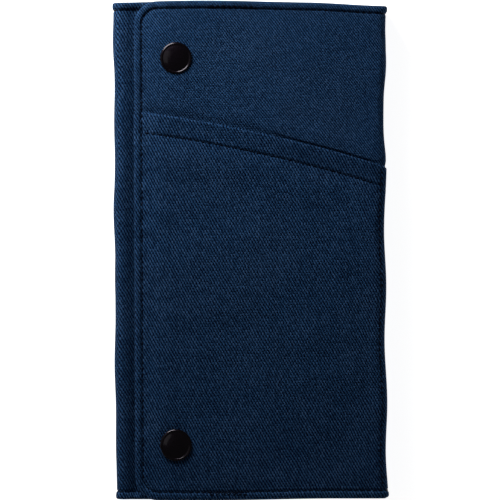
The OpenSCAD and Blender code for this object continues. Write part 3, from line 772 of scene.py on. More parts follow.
# Each stretch of cloth crosses one fold: its place on the path, the flat body, the upright body and the fold;
# the CAD's sheets that it stands for; its free edge and corner; then its swell, grid spacing and canvas
stretches = {
    "cover": {
        "along": (0.0, spineMiddle), "bodies": ("front_cover", "spine", "cover"), "sheets": ["cover"],
        "freeAt": 0.0, "corner": case["coverCorner"],
        "swell": coverSwell, "step": shellGrid["cover"], "canvas": fineCanvas,
    },
    "spine": {
        "along": (spineMiddle, backMiddle), "bodies": ("back", "spine", "back"), "sheets": ["spine"],
        "freeAt": None, "corner": noCorner,
        "swell": backSwell, "step": shellGrid["back"], "canvas": canvasCloth,
    },
    "back": {
        "along": (backMiddle, sideMiddle), "bodies": ("back", "side", "side"), "sheets": ["back"],
        "freeAt": None, "corner": noCorner,
        "swell": backSwell, "step": shellGrid["back"], "canvas": canvasCloth,
    },
    "flap": {
        "along": (sideMiddle, wrapEnd), "bodies": ("closure_flap", "side", "flap"),
        "sheets": ["side", "flap"], "freeAt": wrapEnd, "corner": case["flapCorner"],
        "swell": flapSwell, "step": shellGrid["cover"], "canvas": canvasCloth,
    },
}


# Outer cloth over one stretch of the case, with its weave laid along the path
def outerCloth(name, spec):
    s, y = shellGridPoints(spec["along"], spec["step"], spec["corner"], spec["freeAt"])
    points, mapping = casePoint(s, y, -spec["swell"](s, y)), np.stack([s, y], -1)
    piece = addMesh(f"{name}_canvas", points, gridFaces(*s.shape), spec["canvas"], mapping, pathNormals(s))
    return thicken(piece, clothThick["outer"])


# Lining over one stretch of the case, raised by the zip's valley
def innerCloth(name, spec):
    corner, freeAt = spec["corner"], spec["freeAt"]
    s, y = shellGridPoints(spec["along"], shellGrid["lining"], corner, freeAt)
    points = casePoint(s, y, liningDepth(s, y, corner, freeAt) - zipMouth(s, y))
    mapping, faces = np.stack([s, y], -1), gridFaces(*s.shape)
    piece = addMesh(f"{name}_lining_cloth", points, faces, liningCloth, mapping, -pathNormals(s))
    return thicken(piece, clothThick["lining"])


# Bakes a sheet's placement into its mesh, and hides the CAD sheets that it stands for
def dressSheet(piece, spec, cadEnding):
    acrossFold(piece, *spec["bodies"])
    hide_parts(*[f"{sheet}_{cadEnding}" for sheet in spec["sheets"]])


# Boards inside the case: place on the path, depth of the outer face, thickness and body
boards = {
    "cover": ((5 * mm, coverEnd - 1 * mm), 1.60 * mm, 0.40 * mm, "front_cover"),
    "spine": ((foldOneEnd, spineEnd), 1.15 * mm, 0.30 * mm, "spine"),
    "back": ((foldTwoEnd + 1 * mm, backEnd - 1 * mm), 1.41 * mm, 0.25 * mm, "back"),
    "flap": ((foldFourEnd + 10 * mm, wrapEnd - 5 * mm), 1.25 * mm, 0.35 * mm, "closure_flap"),
}


# A board that follows the case's path between its two cloths, clear of the seams
def makeBoard(name, sRange, depth, thick, body):
    half = case["halfHeight"] - 2 * seam["stitchIn"]
    s, y = np.meshgrid(np.linspace(*sRange, 30), np.linspace(-half, half, 60), indexing="ij")
    points = casePoint(s, y, depth)
    piece = addMesh(f"{name}_stiffener", points, gridFaces(*s.shape), boardPaper, None, pathNormals(s))
    thicken(piece, thick)
    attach(piece, body)
    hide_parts(f"{name}_board")


canvases = {name: outerCloth(name, spec) for name, spec in stretches.items()}
linings = {name: innerCloth(name, spec) for name, spec in stretches.items()}
for name, spec in boards.items():
    makeBoard(name, *spec)
for name, spec in stretches.items():
    dressSheet(canvases[name], spec, "outer_fabric")
for name, spec in stretches.items():
    dressSheet(linings[name], spec, "lining")
print("outer cloth and lining ready")

# slanted outer pocket

pocketEnd = foldOneEnd + 2.5 * mm


# Outward swell of the pocket: a rolled mouth, a double hem, then a full panel sewn down round its other sides
def pocketSwell(s, y):
    d = edgeDistance(s + 0 * y, y, case["coverCorner"], -slant["grow"]) + 0 * y
    below = mouthAt(s) - y
    fromHem = below - slant["hem"]
    across = s / coverEnd
    inside = ramp(d, 3 * mm, 14 * mm)
    free = inside * (1 - ramp(s, coverEnd - 4 * mm, pocketEnd))
    hem = (0.34 * mm * (1 - ramp(fromHem, -0.9 * mm, 0.1 * mm)) - 0.34 * mm * hump(fromHem, 0.5 * mm)
           + 1.05 * mm * np.clip(1 - below / slant["hem"], 0, 1))
    mouthRoll = -(1.0 - 0.45 * ramp(across, 0.4, 0.7)) * mm * (1 - ramp(below, 0, 0.6 * mm))
    gape = 0.75 * mm * ramp(across, 0.35, 0.70) * (1 - ramp(across, 0.92, 1.02))
    gape = gape * (1 - ramp(below, 0, 12 * mm))
    fullness = 0.85 * mm * hump(below - 19 * mm, 9 * mm)
    fullness = fullness * (1 - 0.6 * ramp(across, 0.3, 0.8)) * ramp(across, 0.02, 0.2)
    slack = 0.34 * mm * soften(waves(s, y, 64 * mm, 52)) + 0.08 * mm * waves(s, y, 19 * mm, 53)
    slack = slack * ramp(below, 6 * mm, 30 * mm)
    swell = slant["lift"] * (0.45 + 0.55 * free) + free * (hem + gape + fullness + slack)
    swell = swell + mouthRoll + 0.75 * seamProfile(d) + 1.25 * pucker(s, y, d)
    swell = swell + 0.07 * mm * waves(s, 0 * s, 7 * mm, 15, 5) * hump(fromHem - 1.6 * mm, 2.2 * mm)
    swell = swell + pressed(np.hypot(s - snap["onCover"], y + snap["height"]), 0.75 * mm, 0.25 * mm)
    swell = swell - 0.3 * slant["lift"] * ramp(s, pocketEnd - 2 * mm, pocketEnd)
    swell = swell - 0.36 * mm * hump(s - slant["seamAt"], 0.55 * mm)
    return swell - (thickness(s) / 2 + 0.45 * mm) * rollOver(d)


# The pocket's grid runs from the foot of the cover up to the slanted mouth, with close rows at both
def makePocket():
    grow = slant["grow"]
    s = samples(-grow, pocketEnd, shellGrid["cover"], True, False)
    low, high = -case["halfHeight"] - grow, mouthAt(foldOneEnd)
    rolled = 0.8 * mm * (1 - np.cos(np.linspace(0, np.pi / 2, 5)))
    mouthSteps = np.concatenate([rolled, np.arange(1.3, 11.2, 0.45) * mm])
    middle = np.linspace(low + closeSteps[-1], high - mouthSteps[-1], 136)[1:-1]
    base = np.concatenate([low + closeSteps, middle, high - mouthSteps[::-1]])
    sGrid, yBase = np.meshgrid(s, base, indexing="ij")
    share = (yBase - low) / (high - low)
    bottom = yBase - low - reachAt(sGrid, case["coverCorner"], -grow, grow)
    top = mouthAt(sGrid) - (high - yBase)
    count = len(closeSteps)
    mix = ramp(share, (base[count] - low) / (high - low), 1 - 12 * mm / (high - low))
    y = np.where(np.arange(len(base)) < count, bottom, (1 - mix) * bottom + mix * top)
    # the weave is laid a little off the cover's, as in a separate cut of cloth
    mapping = np.stack([sGrid + 0.21 * mm, y + 0.17 * mm], -1)
    points = casePoint(sGrid, y, -pocketSwell(sGrid, y))
    faces = gridFaces(*sGrid.shape)
    piece = addMesh("slant_pocket_canvas", points, faces, canvasCloth, mapping, pathNormals(sGrid))
    return thicken(piece, clothThick["pocket"])


pocketCanvas = acrossFold(makePocket(), "front_cover", "spine", "cover")
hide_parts("slant_pocket")
print("slanted pocket ready")

# stitches on the case

# The line at an even distance from the free edge: along the top, round both corners and back along the foot
def edgeLine(sFrom, corner, freeAt, inset):
    half = case["halfHeight"]
    turn = np.linspace(np.pi / 2, -np.pi / 2, 41)
    reach = corner - inset
    upper, lower = turn[:21], turn[20:]
    straight = np.linspace(abs(sFrom - freeAt), corner, 90)
    down = np.linspace(half - corner, corner - half, 150)
    a = np.concatenate([straight, corner - reach * np.cos(upper), 0 * down + inset,
                        corner - reach * np.cos(lower), straight[::-1]])
    y = np.concatenate([0 * straight + half - inset, half - corner + reach * np.sin(upper), down,
                        corner - half + reach * np.sin(lower), 0 * straight + inset - half])
    return np.abs(freeAt - a), y


# Depth of the outermost cloth at each point: the pocket's, the cover's, the back's or the flap's
def outerDepth(s, y):
    onPocket = (y < mouthAt(s)) & (s < pocketEnd)
    onFlap, onCover = s > sideMiddle, s < spineMiddle
    swell = np.where(onPocket, pocketSwell(s, y), coverSwell(s, y))
    return -np.where(onFlap, flapSwell(s, y), np.where(onCover, swell, backSwell(s, y)))


# A row of stitches on one stretch of the case along (s, y), on its outer cloth or on its lining; a row that
# stays on the flat part keeps to one body
def caseStitches(name, stretch, s, y, inside=False, flat=False, pitch=stitch["pitch"]):
    spec = stretches[stretch]
    depth = liningDepth(s, y, spec["corner"], spec["freeAt"]) if inside else outerDepth(s, y)
    facing = -pathNormals(s) if inside else pathNormals(s)
    piece = stitchRow(name, casePoint(s, y, depth), facing, thread, pitch)
    if flat:
        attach(piece, spec["bodies"][0])
    else:
        acrossFold(piece, *spec["bodies"])


seamAt = case["halfHeight"] - seam["stitchIn"]
for stretch, start in (("cover", spineMiddle), ("flap", sideMiddle)):
    edge = edgeLine(start, stretches[stretch]["corner"], stretches[stretch]["freeAt"], seam["stitchIn"])
    caseStitches(f"{stretch}_edge_stitches", stretch, *edge)
    caseStitches(f"{stretch}_lining_stitches", stretch, *edge, inside=True)
for side, label in ((1, "top"), (-1, "foot")):
    for stretch in ("spine", "back"):
        sLine = np.linspace(*stretches[stretch]["along"], 160)
        yLine = 0 * sLine + side * seamAt
        caseStitches(f"{stretch}_{label}_stitches", stretch, sLine, yLine)
        caseStitches(f"{stretch}_{label}_lining_stitches", stretch, sLine, yLine, inside=True)
hemLine = np.linspace(4.5 * mm, coverEnd - 1 * mm, 200)
caseStitches("pocket_hem_stitches", "cover", hemLine, mouthAt(hemLine) - slant["hem"], flat=True)
endLine = np.linspace(mouthAt(slant["seamAt"]) - 1.5 * mm, 4 * mm - case["halfHeight"], 160)
caseStitches("pocket_end_stitches", "cover", slant["seamAt"] + 0 * endLine, endLine)
# a short second row in a zigzag where the seam was sewn twice over, from x = -20 mm on
for label, side, end in (("top", 1, 3 * mm), ("foot", -1, 0)):
    again = np.linspace(-20 * mm, end, 400) - case["coverFree"]
    zigzag = 0.55 * mm * np.sin(again * 2 * np.pi / (2.6 * mm)) + 0.45 * mm
    caseStitches(f"cover_{label}_double_stitches", "cover", again, side * (seamAt + zigzag),
                 flat=True, pitch=1.9 * mm)
print("case stitches ready")

# swept, turned and flat shapes

up, right, away = np.array([0, 0, 1.0]), np.array([1.0, 0, 0]), np.array([0, 1.0, 0])


# Closes a tube's open ends with a flat face each, and turns every face outwards
def closeEnds(piece):
    work = bmesh.new()
    work.from_mesh(piece.data)
    bmesh.ops.holes_fill(work, edges=work.edges, sides=0)
    bmesh.ops.recalc_face_normals(work, faces=work.faces)
    work.to_mesh(piece.data)
    work.free()
    return piece


# Rounds each corner of a line with a parabola that starts and ends at reach from it
def rounded(corners, reach, closed=False, steps=5):
    corners = np.asarray(corners, float)
    before, after = np.roll(corners, 1, axis=0) - corners, np.roll(corners, -1, axis=0) - corners
    lengthBefore = np.linalg.norm(before, axis=1, keepdims=True)
    lengthAfter = np.linalg.norm(after, axis=1, keepdims=True)
    before *= np.minimum(reach / lengthBefore, 0.45)
    after *= np.minimum(reach / lengthAfter, 0.45)
    t = np.linspace(0, 1, steps)[None, :, None]
    curves = corners[:, None] + (1 - t) ** 2 * before[:, None] + t**2 * after[:, None]
    if closed:
        return curves.reshape(-1, corners.shape[1])
    return np.concatenate([corners[:1], curves[1:-1].reshape(-1, corners.shape[1]), corners[-1:]])


# Carries a closed outline along a line of points, across and upward being its directions at each point
def sweep(name, line, across, upward, outline, material, closed=False):
    line = np.asarray(line, float)
    outline = np.asarray(outline, float)
    across, upward = np.broadcast_to(across, line.shape), np.broadcast_to(upward, line.shape)
    points = line[:, None] + outline[None, :, :1] * across[:, None] + outline[None, :, 1:] * upward[:, None]
    girth, length = np.meshgrid(runningLength(outline), runningLength(line))
    faces = gridFaces(len(line), len(outline), closed, True)
    return closeEnds(addMesh(name, points, faces, material, np.stack([girth, length], -1)))


# Turns a profile of (radius, height) round a vertical axis; one that leaves the axis and returns is solid
def lathe(name, profile, centre, material, sides):
    turn = np.linspace(0, 2 * np.pi, sides, endpoint=False)[:, None]
    radius, height = np.maximum(profile[:, 0], 0.12 * mm), profile[:, 1]
    points = np.stack([radius * np.cos(turn), radius * np.sin(turn), height + 0 * turn], -1) + centre
    return closeEnds(addMesh(name, points, gridFaces(sides, len(profile), True), material))


# Outward directions along a closed flat outline that runs anticlockwise
def outlineNormals(outline):
    ahead = np.roll(outline, -1, axis=0) - np.roll(outline, 1, axis=0)
    return unitLength(np.stack([ahead[:, 1], -ahead[:, 0]], axis=1))


# A flat part with rounded edges, from low to high; a hole has as many points as the outline
def plate(name, outline, low, high, edge, material, hole=None):
    t = np.linspace(0, np.pi / 2, 5)
    inset = np.concatenate([[1.8 * edge], edge * (1 - np.sin(t)), edge * (1 - np.cos(t)), [1.8 * edge]])
    height = np.concatenate([[low], low + edge * (1 - np.cos(t)), high - edge * (1 - np.sin(t)), [high]])
    rows = outline[None] - inset[:, None, None] * outlineNormals(outline)[None]
    if hole is not None:
        inner = hole[None] + inset[::-1, None, None] * outlineNormals(hole)[None]
        rows, height = np.concatenate([rows, inner]), np.concatenate([height, height[::-1]])
    points = np.concatenate([rows, np.broadcast_to(height[:, None, None], rows[..., :1].shape)], axis=-1)
    faces = gridFaces(len(height), len(outline), hole is not None, True)
    return closeEnds(addMesh(name, points, faces, material))


# Joins several pieces into the first, under a new name
def joined(name, parts):
    with bpy.context.temp_override(active_object=parts[0], selected_editable_objects=parts):
        bpy.ops.object.join()
    parts[0].name = name
    return parts[0]


# Attaches a finished piece to its body and hides the CAD nodes that it stands for; its slot is not used
def place(piece, body, nodes, slot):
    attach(piece, body)
    if nodes:
        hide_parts(*nodes)
    return piece


# A row of stitches in thread that rides a body; its slot is not used
def placeRow(name, line, facing, pitch, body, slot):
    place(stitchRow(name, line, facing, thread, pitch), body, [], slot)


# press studs, each turned from profiles of radius and height; the cap's heights are from its own base

capTall = 1.6 * mm
capShape = np.array([
    [0, -0.45], [6.7, -0.45], [7.3, -0.30], [7.5, 0.05], [7.5, 0.55], [7.36, 0.84], [6.90, 1.10],
    [6.70, 1.12], [6.34, 0.90], [6.05, 0.86], [5.3, 1.06], [4.2, 1.27], [2.4, 1.48], [0, 1.58],
]) * mm
socketShape = np.array([
    [0, 20.1], [3.5, 20.1], [3.5, 17.8], [3.85, 17.5], [4.65, 17.5], [5.0, 17.85], [5.0, 19.55], [5.9, 19.8],
    [6.2, 20.0], [6.2, 20.4], [0, 20.4],
]) * mm
studShape = np.array([
    [0, 16.55], [4.8, 16.55], [4.8, 17.05], [4.4, 17.28], [2.95, 17.42], [2.5, 17.75], [2.5, 18.1],
    [3.1, 18.3], [3.1, 18.7], [2.55, 18.98], [0, 19.0],
]) * mm
postShape = np.array([
    [0, 15.05], [4.4, 15.05], [4.5, 14.65], [4.1, 14.32], [2.3, 14.3], [1.7, 14.55], [0, 14.6],
]) * mm

# Each part of a snap: its profile, how far its corners are rounded, its sides, body, finish and slot
snapParts = {
    "cap": (capShape, 0.35 * mm, 96, "front_cover", gunmetal, "gunmetal"),
    "socket": (socketShape, 0.25 * mm, 72, "front_cover", nickel, "nickel"),
    "stud": (studShape, 0.25 * mm, 72, "closure_flap", nickel, "nickel"),
    "post": (postShape, 0.25 * mm, 72, "closure_flap", nickel, "nickel"),
}
for label in ("upper", "lower"):
    low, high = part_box(f"snap_cap_{label}")
    for part, (profile, rounding, sides, body, finish, slot) in snapParts.items():
        level = high[2] - capTall if part == "cap" else 0.0
        centre = np.array([(low[0] + high[0]) / 2, (low[1] + high[1]) / 2, level])
        turned = lathe(f"snap_{part}_{label}_turned", rounded(profile, rounding), centre, finish, sides)
        place(turned, body, [f"snap_{part}_{label}"], slot)
print("press studs ready")

# flat pockets inside the case

pocket = {
    "roll": 1.6 * mm,       # how far in from a sewn side the cloth rounds over
    "seam": 2.4 * mm, "groove": 0.14 * mm, "slack": 0.10 * mm, "hem": 7.0 * mm, "step": 2.0 * mm,
    "sunk": 0.12 * mm,      # how far its sides are pressed into the lining
    "thick": 0.3 * mm, "pitch": 2.6 * mm,
}
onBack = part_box("back_lining")[1][2] - pocket["sunk"]
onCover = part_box("cover_lining")[0][2] + pocket["sunk"]
pocketPlaces = {
    "passport_pocket": {"mouth": "top", "body": "back", "seed": 61, "hem": 0.0},
    "card_slot_upper": {"mouth": "top", "body": "back", "seed": 62, "hem": 0.10 * mm},
    "card_slot_middle": {"mouth": "top", "body": "back", "seed": 62, "hem": 0.10 * mm},
    "card_slot_lower": {"mouth": "top", "body": "back", "seed": 62, "hem": 0.10 * mm},
    "ticket_pocket": {"mouth": "left", "body": "front_cover", "seed": 63, "hem": 0.0},
}


# Height of a sewn pocket above the lining: a quarter circle up from its seams, slack and a stitched groove
def pocketHeight(spec, x, y):
    (left, foot, _), (end, top, _) = spec["low"], spec["high"]
    sides = np.minimum(np.minimum(y - foot, end - x), x - left if spec["mouth"] == "top" else top - y)
    free = top - y if spec["mouth"] == "top" else x - left
    rise = spec["lift"] * np.sqrt(1 - (1 - np.clip(sides / pocket["roll"], 0, 1)) ** 2)
    slack = pocket["slack"] * soften(waves(x, y, 40 * mm, spec["seed"])) * ramp(sides, 4 * mm, 14 * mm)
    hem = spec["hem"] * (1 - ramp(free, pocket["hem"], pocket["hem"] + 0.6 * mm))
    edge = -0.25 * mm * (1 - ramp(free, 0, 0.6 * mm))
    return rise + slack + hem + edge - pocket["groove"] * hump(sides - pocket["seam"], 0.5 * mm)


# Points of a sewn pocket at (x, y): its height stands out from the lining that it is sewn to
def pocketPoints(spec, x, y):
    return np.stack([x, y + bow(x, y), spec["base"] + spec["facing"] * pocketHeight(spec, x, y)], axis=-1)


# Stitches along the three sewn sides, at an even distance from them
def pocketStitches(name, spec):
    (left, foot, _), (end, top, _) = spec["low"], spec["high"]
    inset = pocket["seam"]
    x = [left + inset, left + inset, end - inset, end - inset]
    y = [top - 1 * mm, foot + inset, foot + inset, top - 1 * mm]
    if spec["mouth"] == "left":
        x = [left + 1 * mm, end - inset, end - inset, left + 1 * mm]
        y = [top - inset, top - inset, foot + inset, foot + inset]
    corners = np.stack([x, y], axis=1)
    along = runningLength(corners)
    at = np.arange(0, along[-1], 1 * mm)
    line = pocketPoints(spec, np.interp(at, along, corners[:, 0]), np.interp(at, along, corners[:, 1]))
    placeRow(name, line, spec["facing"] * up, pocket["pitch"], spec["body"], "lining_cloth")


for node, spec in pocketPlaces.items():
    spec["low"], spec["high"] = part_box(node)
    spec["facing"] = 1 if spec["body"] == "back" else -1
    spec["base"] = onBack if spec["facing"] == 1 else onCover
    face = spec["high"][2] if spec["facing"] == 1 else spec["low"][2]
    spec["lift"] = abs(face - spec["base"]) - spec["hem"]
    x, y = (samples(spec["low"][k], spec["high"][k], pocket["step"]) for k in range(2))
    x, y = np.meshgrid(x, y, indexing="ij")
    panel = addMesh(f"{node}_cloth", pocketPoints(spec, x, y), gridFaces(*x.shape), pocketCloth,
                    np.stack([x, y], -1), spec["facing"] * up)
    place(thicken(panel, pocket["thick"]), spec["body"], [node], "lining_cloth")
    pocketStitches(f"{node}_stitches", spec)


# Section of a folded tape round a pocket's mouth: (from the mouth inwards, height above the pocket's face)
bindingShape = np.array([
    [6.2, 0.04], [6.2, 0.30], [5.7, 0.36], [0.4, 0.36], [-0.2, 0.12], [-0.2, -0.40], [0.4, -0.66],
    [5.7, -0.66], [6.2, -0.60], [6.2, -0.36], [0.25, -0.36], [0.25, 0.04],
]) * mm


# Binding along a pocket's mouth, dipping with the pocket at both ends, and a row of stitches on it
def makeBinding(pocketNode):
    node, spec = f"{pocketNode}_binding", pocketPlaces[pocketNode]
    (left, foot, _), (end, top, _) = spec["low"], spec["high"]
    alongX = spec["mouth"] == "top"
    close = pocket["roll"] * (1 - np.cos(np.linspace(0.35, np.pi / 2, 6)))
    first, last = (left, end) if alongX else (foot, top)
    at = np.concatenate([first + close, np.linspace(first + 4 * mm, last - 4 * mm, 60), last - close[::-1]])
    x, y = (at, 0 * at + top - 9 * mm) if alongX else (0 * at + left + 9 * mm, at)
    inward = -away if alongX else right
    line = pocketPoints(spec, x, y)
    mouthLine = line.copy()
    mouthLine[:, 1 if alongX else 0] = (top - 0.1 * mm) if alongX else (left + 0.1 * mm)
    facing = spec["facing"] * up
    outline = rounded(bindingShape, 0.25 * mm, closed=True, steps=3)
    piece = sweep(f"{node}_tape", mouthLine, inward, facing, outline, bindingTape)
    place(piece, spec["body"], [node], "binding_tape")
    sewnLine = mouthLine + 4.9 * mm * inward + 0.33 * mm * facing
    placeRow(f"{node}_stitches", sewnLine, facing, pocket["pitch"], spec["body"], "binding_tape")


makeBinding("passport_pocket")
makeBinding("ticket_pocket")

# the zip pocket's bag lies between the lining and the board
bagLow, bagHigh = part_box("zip_pocket_bag")
bagThick = 0.05 * mm
x, y = np.linspace(bagLow[0] + 2 * mm, bagHigh[0], 40), np.linspace(bagLow[1], bagHigh[1], 70) * 0.96
x, y = np.meshgrid(x, y, indexing="ij")
bagPoints, bagMap = np.stack([x, y, 0 * x + bagLow[2] + bagThick], -1), np.stack([x, y], -1)
bag = addMesh("zip_pocket_bag_cloth", bagPoints, gridFaces(*x.shape), liningCloth, bagMap, up)
place(thicken(bag, bagThick), "back", ["zip_pocket_bag"], "lining_cloth")
print("inner pockets ready")

# zip

zipShape = {
    "turn": 1.35 * mm,       # from one turn of the coil to the next
    "wire": 0.21 * mm,
    "across": 0.66 * mm,     # half the coil's width, to the middle of its wire
    "tall": 0.34 * mm,       # half its height
    "coilAt": 0.72 * mm,     # from the middle of the zip to the middle of a coil
    "stitchAt": 5.4 * mm,    # and to the row of stitches
    "tapeThick": 0.3 * mm,
    "tapeSunk": 0.08 * mm,   # how far the tape's flat part lies below its top
}


# One coil: a monofilament wound along Y on an ellipse, beside the middle of the zip
def makeCoil(side, label):
    low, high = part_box(f"zip_teeth_{label}")
    turns = (high[1] - low[1]) / zipShape["turn"]
    t = np.linspace(0, turns, int(turns * 12))
    angle = 2 * np.pi * (t + (0.5 if side > 0 else 0))
    middle = zipX + side * zipShape["coilAt"]
    radial = np.stack([np.cos(angle), 0 * t, np.sin(angle)], axis=1)
    line = np.stack([middle + zipShape["across"] * np.cos(angle), low[1] + zipShape["turn"] * t,
                     (low[2] + high[2]) / 2 + zipShape["tall"] * np.sin(angle)], axis=1)
    forward = unitLength(np.gradient(line, axis=0))
    across = unitLength(radial - forward * np.sum(radial * forward, axis=1, keepdims=True))
    ring = np.linspace(0, 2 * np.pi, 6, endpoint=False)
    outline = zipShape["wire"] * np.stack([np.cos(ring), np.sin(ring)], axis=1)
    coil = sweep(f"zip_coil_{label}", line, across, np.cross(forward, across), outline, coilPlastic)
    place(coil, "back", [f"zip_teeth_{label}"], "zip_coil")


# One tape: flat where it is sewn, and rising a little over its edge cord beside the coil
def makeZipTape(side, label):
    low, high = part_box(f"zip_tape_{label}")
    x = np.linspace(low[0], high[0], 16)
    y = np.linspace(low[1], high[1], 260)
    x, y = np.meshgrid(x, y, indexing="ij")
    fromCoil = np.abs(x - zipX) - 1.5 * mm
    cord = 0.16 * mm * hump(fromCoil - 0.5 * mm, 0.5 * mm)
    dip = -0.12 * mm * hump(fromCoil - 3.9 * mm, 0.5 * mm)
    flat = high[2] - zipShape["tapeSunk"]
    z = flat + cord + dip + 0.05 * mm * soften(waves(x, y, 20 * mm, 71))
    tape = addMesh(f"zip_tape_{label}_cloth", np.stack([x, y, z], -1), gridFaces(*x.shape), zipTape,
                   np.stack([x, y], -1), up)
    place(thicken(tape, zipShape["tapeThick"]), "back", [f"zip_tape_{label}"], "zip_tape")
    line = np.stack([0 * y[0] + zipX + side * zipShape["stitchAt"], y[0], 0 * y[0] + flat], axis=1)
    placeRow(f"zip_tape_{label}_stitches", line, up, 2.4 * mm, "back", "zip_tape")


for side, label in ((-1, "left"), (1, "right")):
    makeCoil(side, label)
    makeZipTape(side, label)

# Half of the slider's plate, from its narrow tail to its shoulders: (across, along)
sliderSide = np.array([
    [2.3, 0], [3.0, 2.6], [3.5, 5.6], [3.4, 8.6], [2.8, 9.0], [1.0, 9.0], [0.35, 8.5],
]) * mm
sliderPlace = np.array([zipX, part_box("zip_slider")[0][1]])
sliderOutline = rounded(np.concatenate([sliderSide, sliderSide[::-1] * [-1, 1]]), 0.7 * mm, closed=True)
flange = rounded(sliderSide[:4], 0.7 * mm)
# Line of its bridge (along, height), and outline of the wedge between the coils (across, along)
crown = np.array([[0.6, 3.9], [0.75, 5.1], [1.5, 5.72], [4.4, 5.72], [5.4, 5.05], [5.6, 3.9]]) * mm
wedge = np.array([[-0.5, 6.8], [0.5, 6.8], [1.1, 8.4], [-1.1, 8.4]]) * mm


# Section of a bar: a rectangle with rounded corners
def barOutline(width, height, edge=0.12 * mm):
    a, b = width / 2, height / 2
    return rounded([(-a, -b), (a, -b), (a, b), (-a, b)], edge, closed=True, steps=3)


# The slider's turned-down side, just inside the edge of its plate
def flangeBar(side):
    width, tall, level = 0.56 * mm, 0.66 * mm, 3.33 * mm
    x, y = side * (flange[:, 0] - width / 2), flange[:, 1]
    line = np.stack([sliderPlace[0] + x, sliderPlace[1] + y, 0 * x + level], axis=1)
    forward = unitLength(np.gradient(line, axis=0))
    return sweep("flange", line, np.cross(forward, up), up, barOutline(width, tall), sliderMetal)


# The bridge that the pull hangs from stands along the middle of the slider
def crownBar():
    arch = rounded(crown, 0.5 * mm)
    line = np.stack([0 * arch[:, 0] + zipX, sliderPlace[1] + 1.3 * mm + arch[:, 0], arch[:, 1]], axis=1)
    forward = unitLength(np.gradient(line, axis=0))
    return sweep("crown", line, right, np.cross(forward, right), barOutline(1.6 * mm, 0.5 * mm), sliderMetal)


wedgeOutline = rounded(wedge, 0.3 * mm, closed=True) + sliderPlace
sliderParts = [
    plate("slider", sliderOutline + sliderPlace, 3.60 * mm, 4.10 * mm, 0.2 * mm, sliderMetal),
    plate("lower", sliderOutline + sliderPlace, 1.95 * mm, 2.35 * mm, 0.15 * mm, sliderMetal),
    plate("wedge", wedgeOutline, 2.25 * mm, 3.7 * mm, 0.1 * mm, sliderMetal),
    crownBar(), flangeBar(1), flangeBar(-1),
]
place(joined("zip_slider_cast", sliderParts), "zip_slider", ["zip_slider"], "gunmetal")

pullLow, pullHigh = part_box("zip_pull")
pullSide = np.array([
    [1.6, 0], [3.0, 1.5], [2.7, 7.0], [2.35, 9.0], [3.0, 10.5], [3.0, 14.6], [2.0, 15.5],
]) * mm
pullCorners = np.concatenate([pullSide[:1] * [-1, 1], pullSide, pullSide[:0:-1] * [-1, 1]])
gripSide = np.array([[1.3, 1.0], [2.1, 2.2], [1.9, 6.6], [1.3, 7.6]]) * mm
gripCorners = np.concatenate([gripSide[:1] * [-1, 1], gripSide, gripSide[:0:-1] * [-1, 1]])
windowCorners = np.array([[-1.5, 10.0], [1.5, 10.0], [1.5, 14.5], [-1.5, 14.5]]) * mm


# The outline's points at given angles round a middle, so that an outline and its hole match point for point
def atAngles(outline, middle, angles):
    dense = np.concatenate([outline, outline[:1]])
    along = runningLength(dense)
    fine = np.linspace(0, along[-1], 1600, endpoint=False)
    dx, dy = (np.interp(fine, along, dense[:, k]) - middle[k] for k in range(2))
    found = np.interp(angles, np.arctan2(dy, dx), np.hypot(dx, dy), period=2 * np.pi)
    return np.stack([middle[0] + found * np.cos(angles), middle[1] + found * np.sin(angles)], axis=1)


# the cube puts more of the angles towards the pull's long arm
even = np.linspace(-1, 1, 120, endpoint=False)
pullAngles = -np.pi / 2 + np.pi * (0.3 * even + 0.7 * even**3)
pullMiddle = np.array([0, 12.25 * mm])
pullPlace = np.array([zipX, pullLow[1]])
pullOutline = atAngles(rounded(pullCorners, 1.3 * mm, closed=True), pullMiddle, pullAngles) + pullPlace
pullWindow = atAngles(rounded(windowCorners, 0.6 * mm, closed=True), pullMiddle, pullAngles) + pullPlace
grip = rounded(gripCorners, 0.8 * mm, closed=True) + pullPlace
raised = 0.08 * mm          # the grip stands this far out of both faces
pullParts = [
    plate("pull", pullOutline, pullLow[2] + raised, pullHigh[2] - raised, 0.22 * mm, sliderMetal, pullWindow),
    plate("grip", grip, pullLow[2], pullHigh[2], 0.1 * mm, sliderMetal),
]
place(joined("zip_pull_cast", pullParts), "zip_pull", ["zip_pull"], "gunmetal")
print("zip ready")

# pen loop, ring tape and rings

penLow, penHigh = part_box("pen_loop")
penMiddle = (penLow[0] + penHigh[0]) / 2
penLoop = {
    "radius": 4.2 * mm, "height": 14.9 * mm, "thick": 0.55 * mm,
    "neck": 24,              # degrees from straight up at which the loop leaves its tails
    "stitchAt": 3.4 * mm,    # from its middle to a row of stitches
}


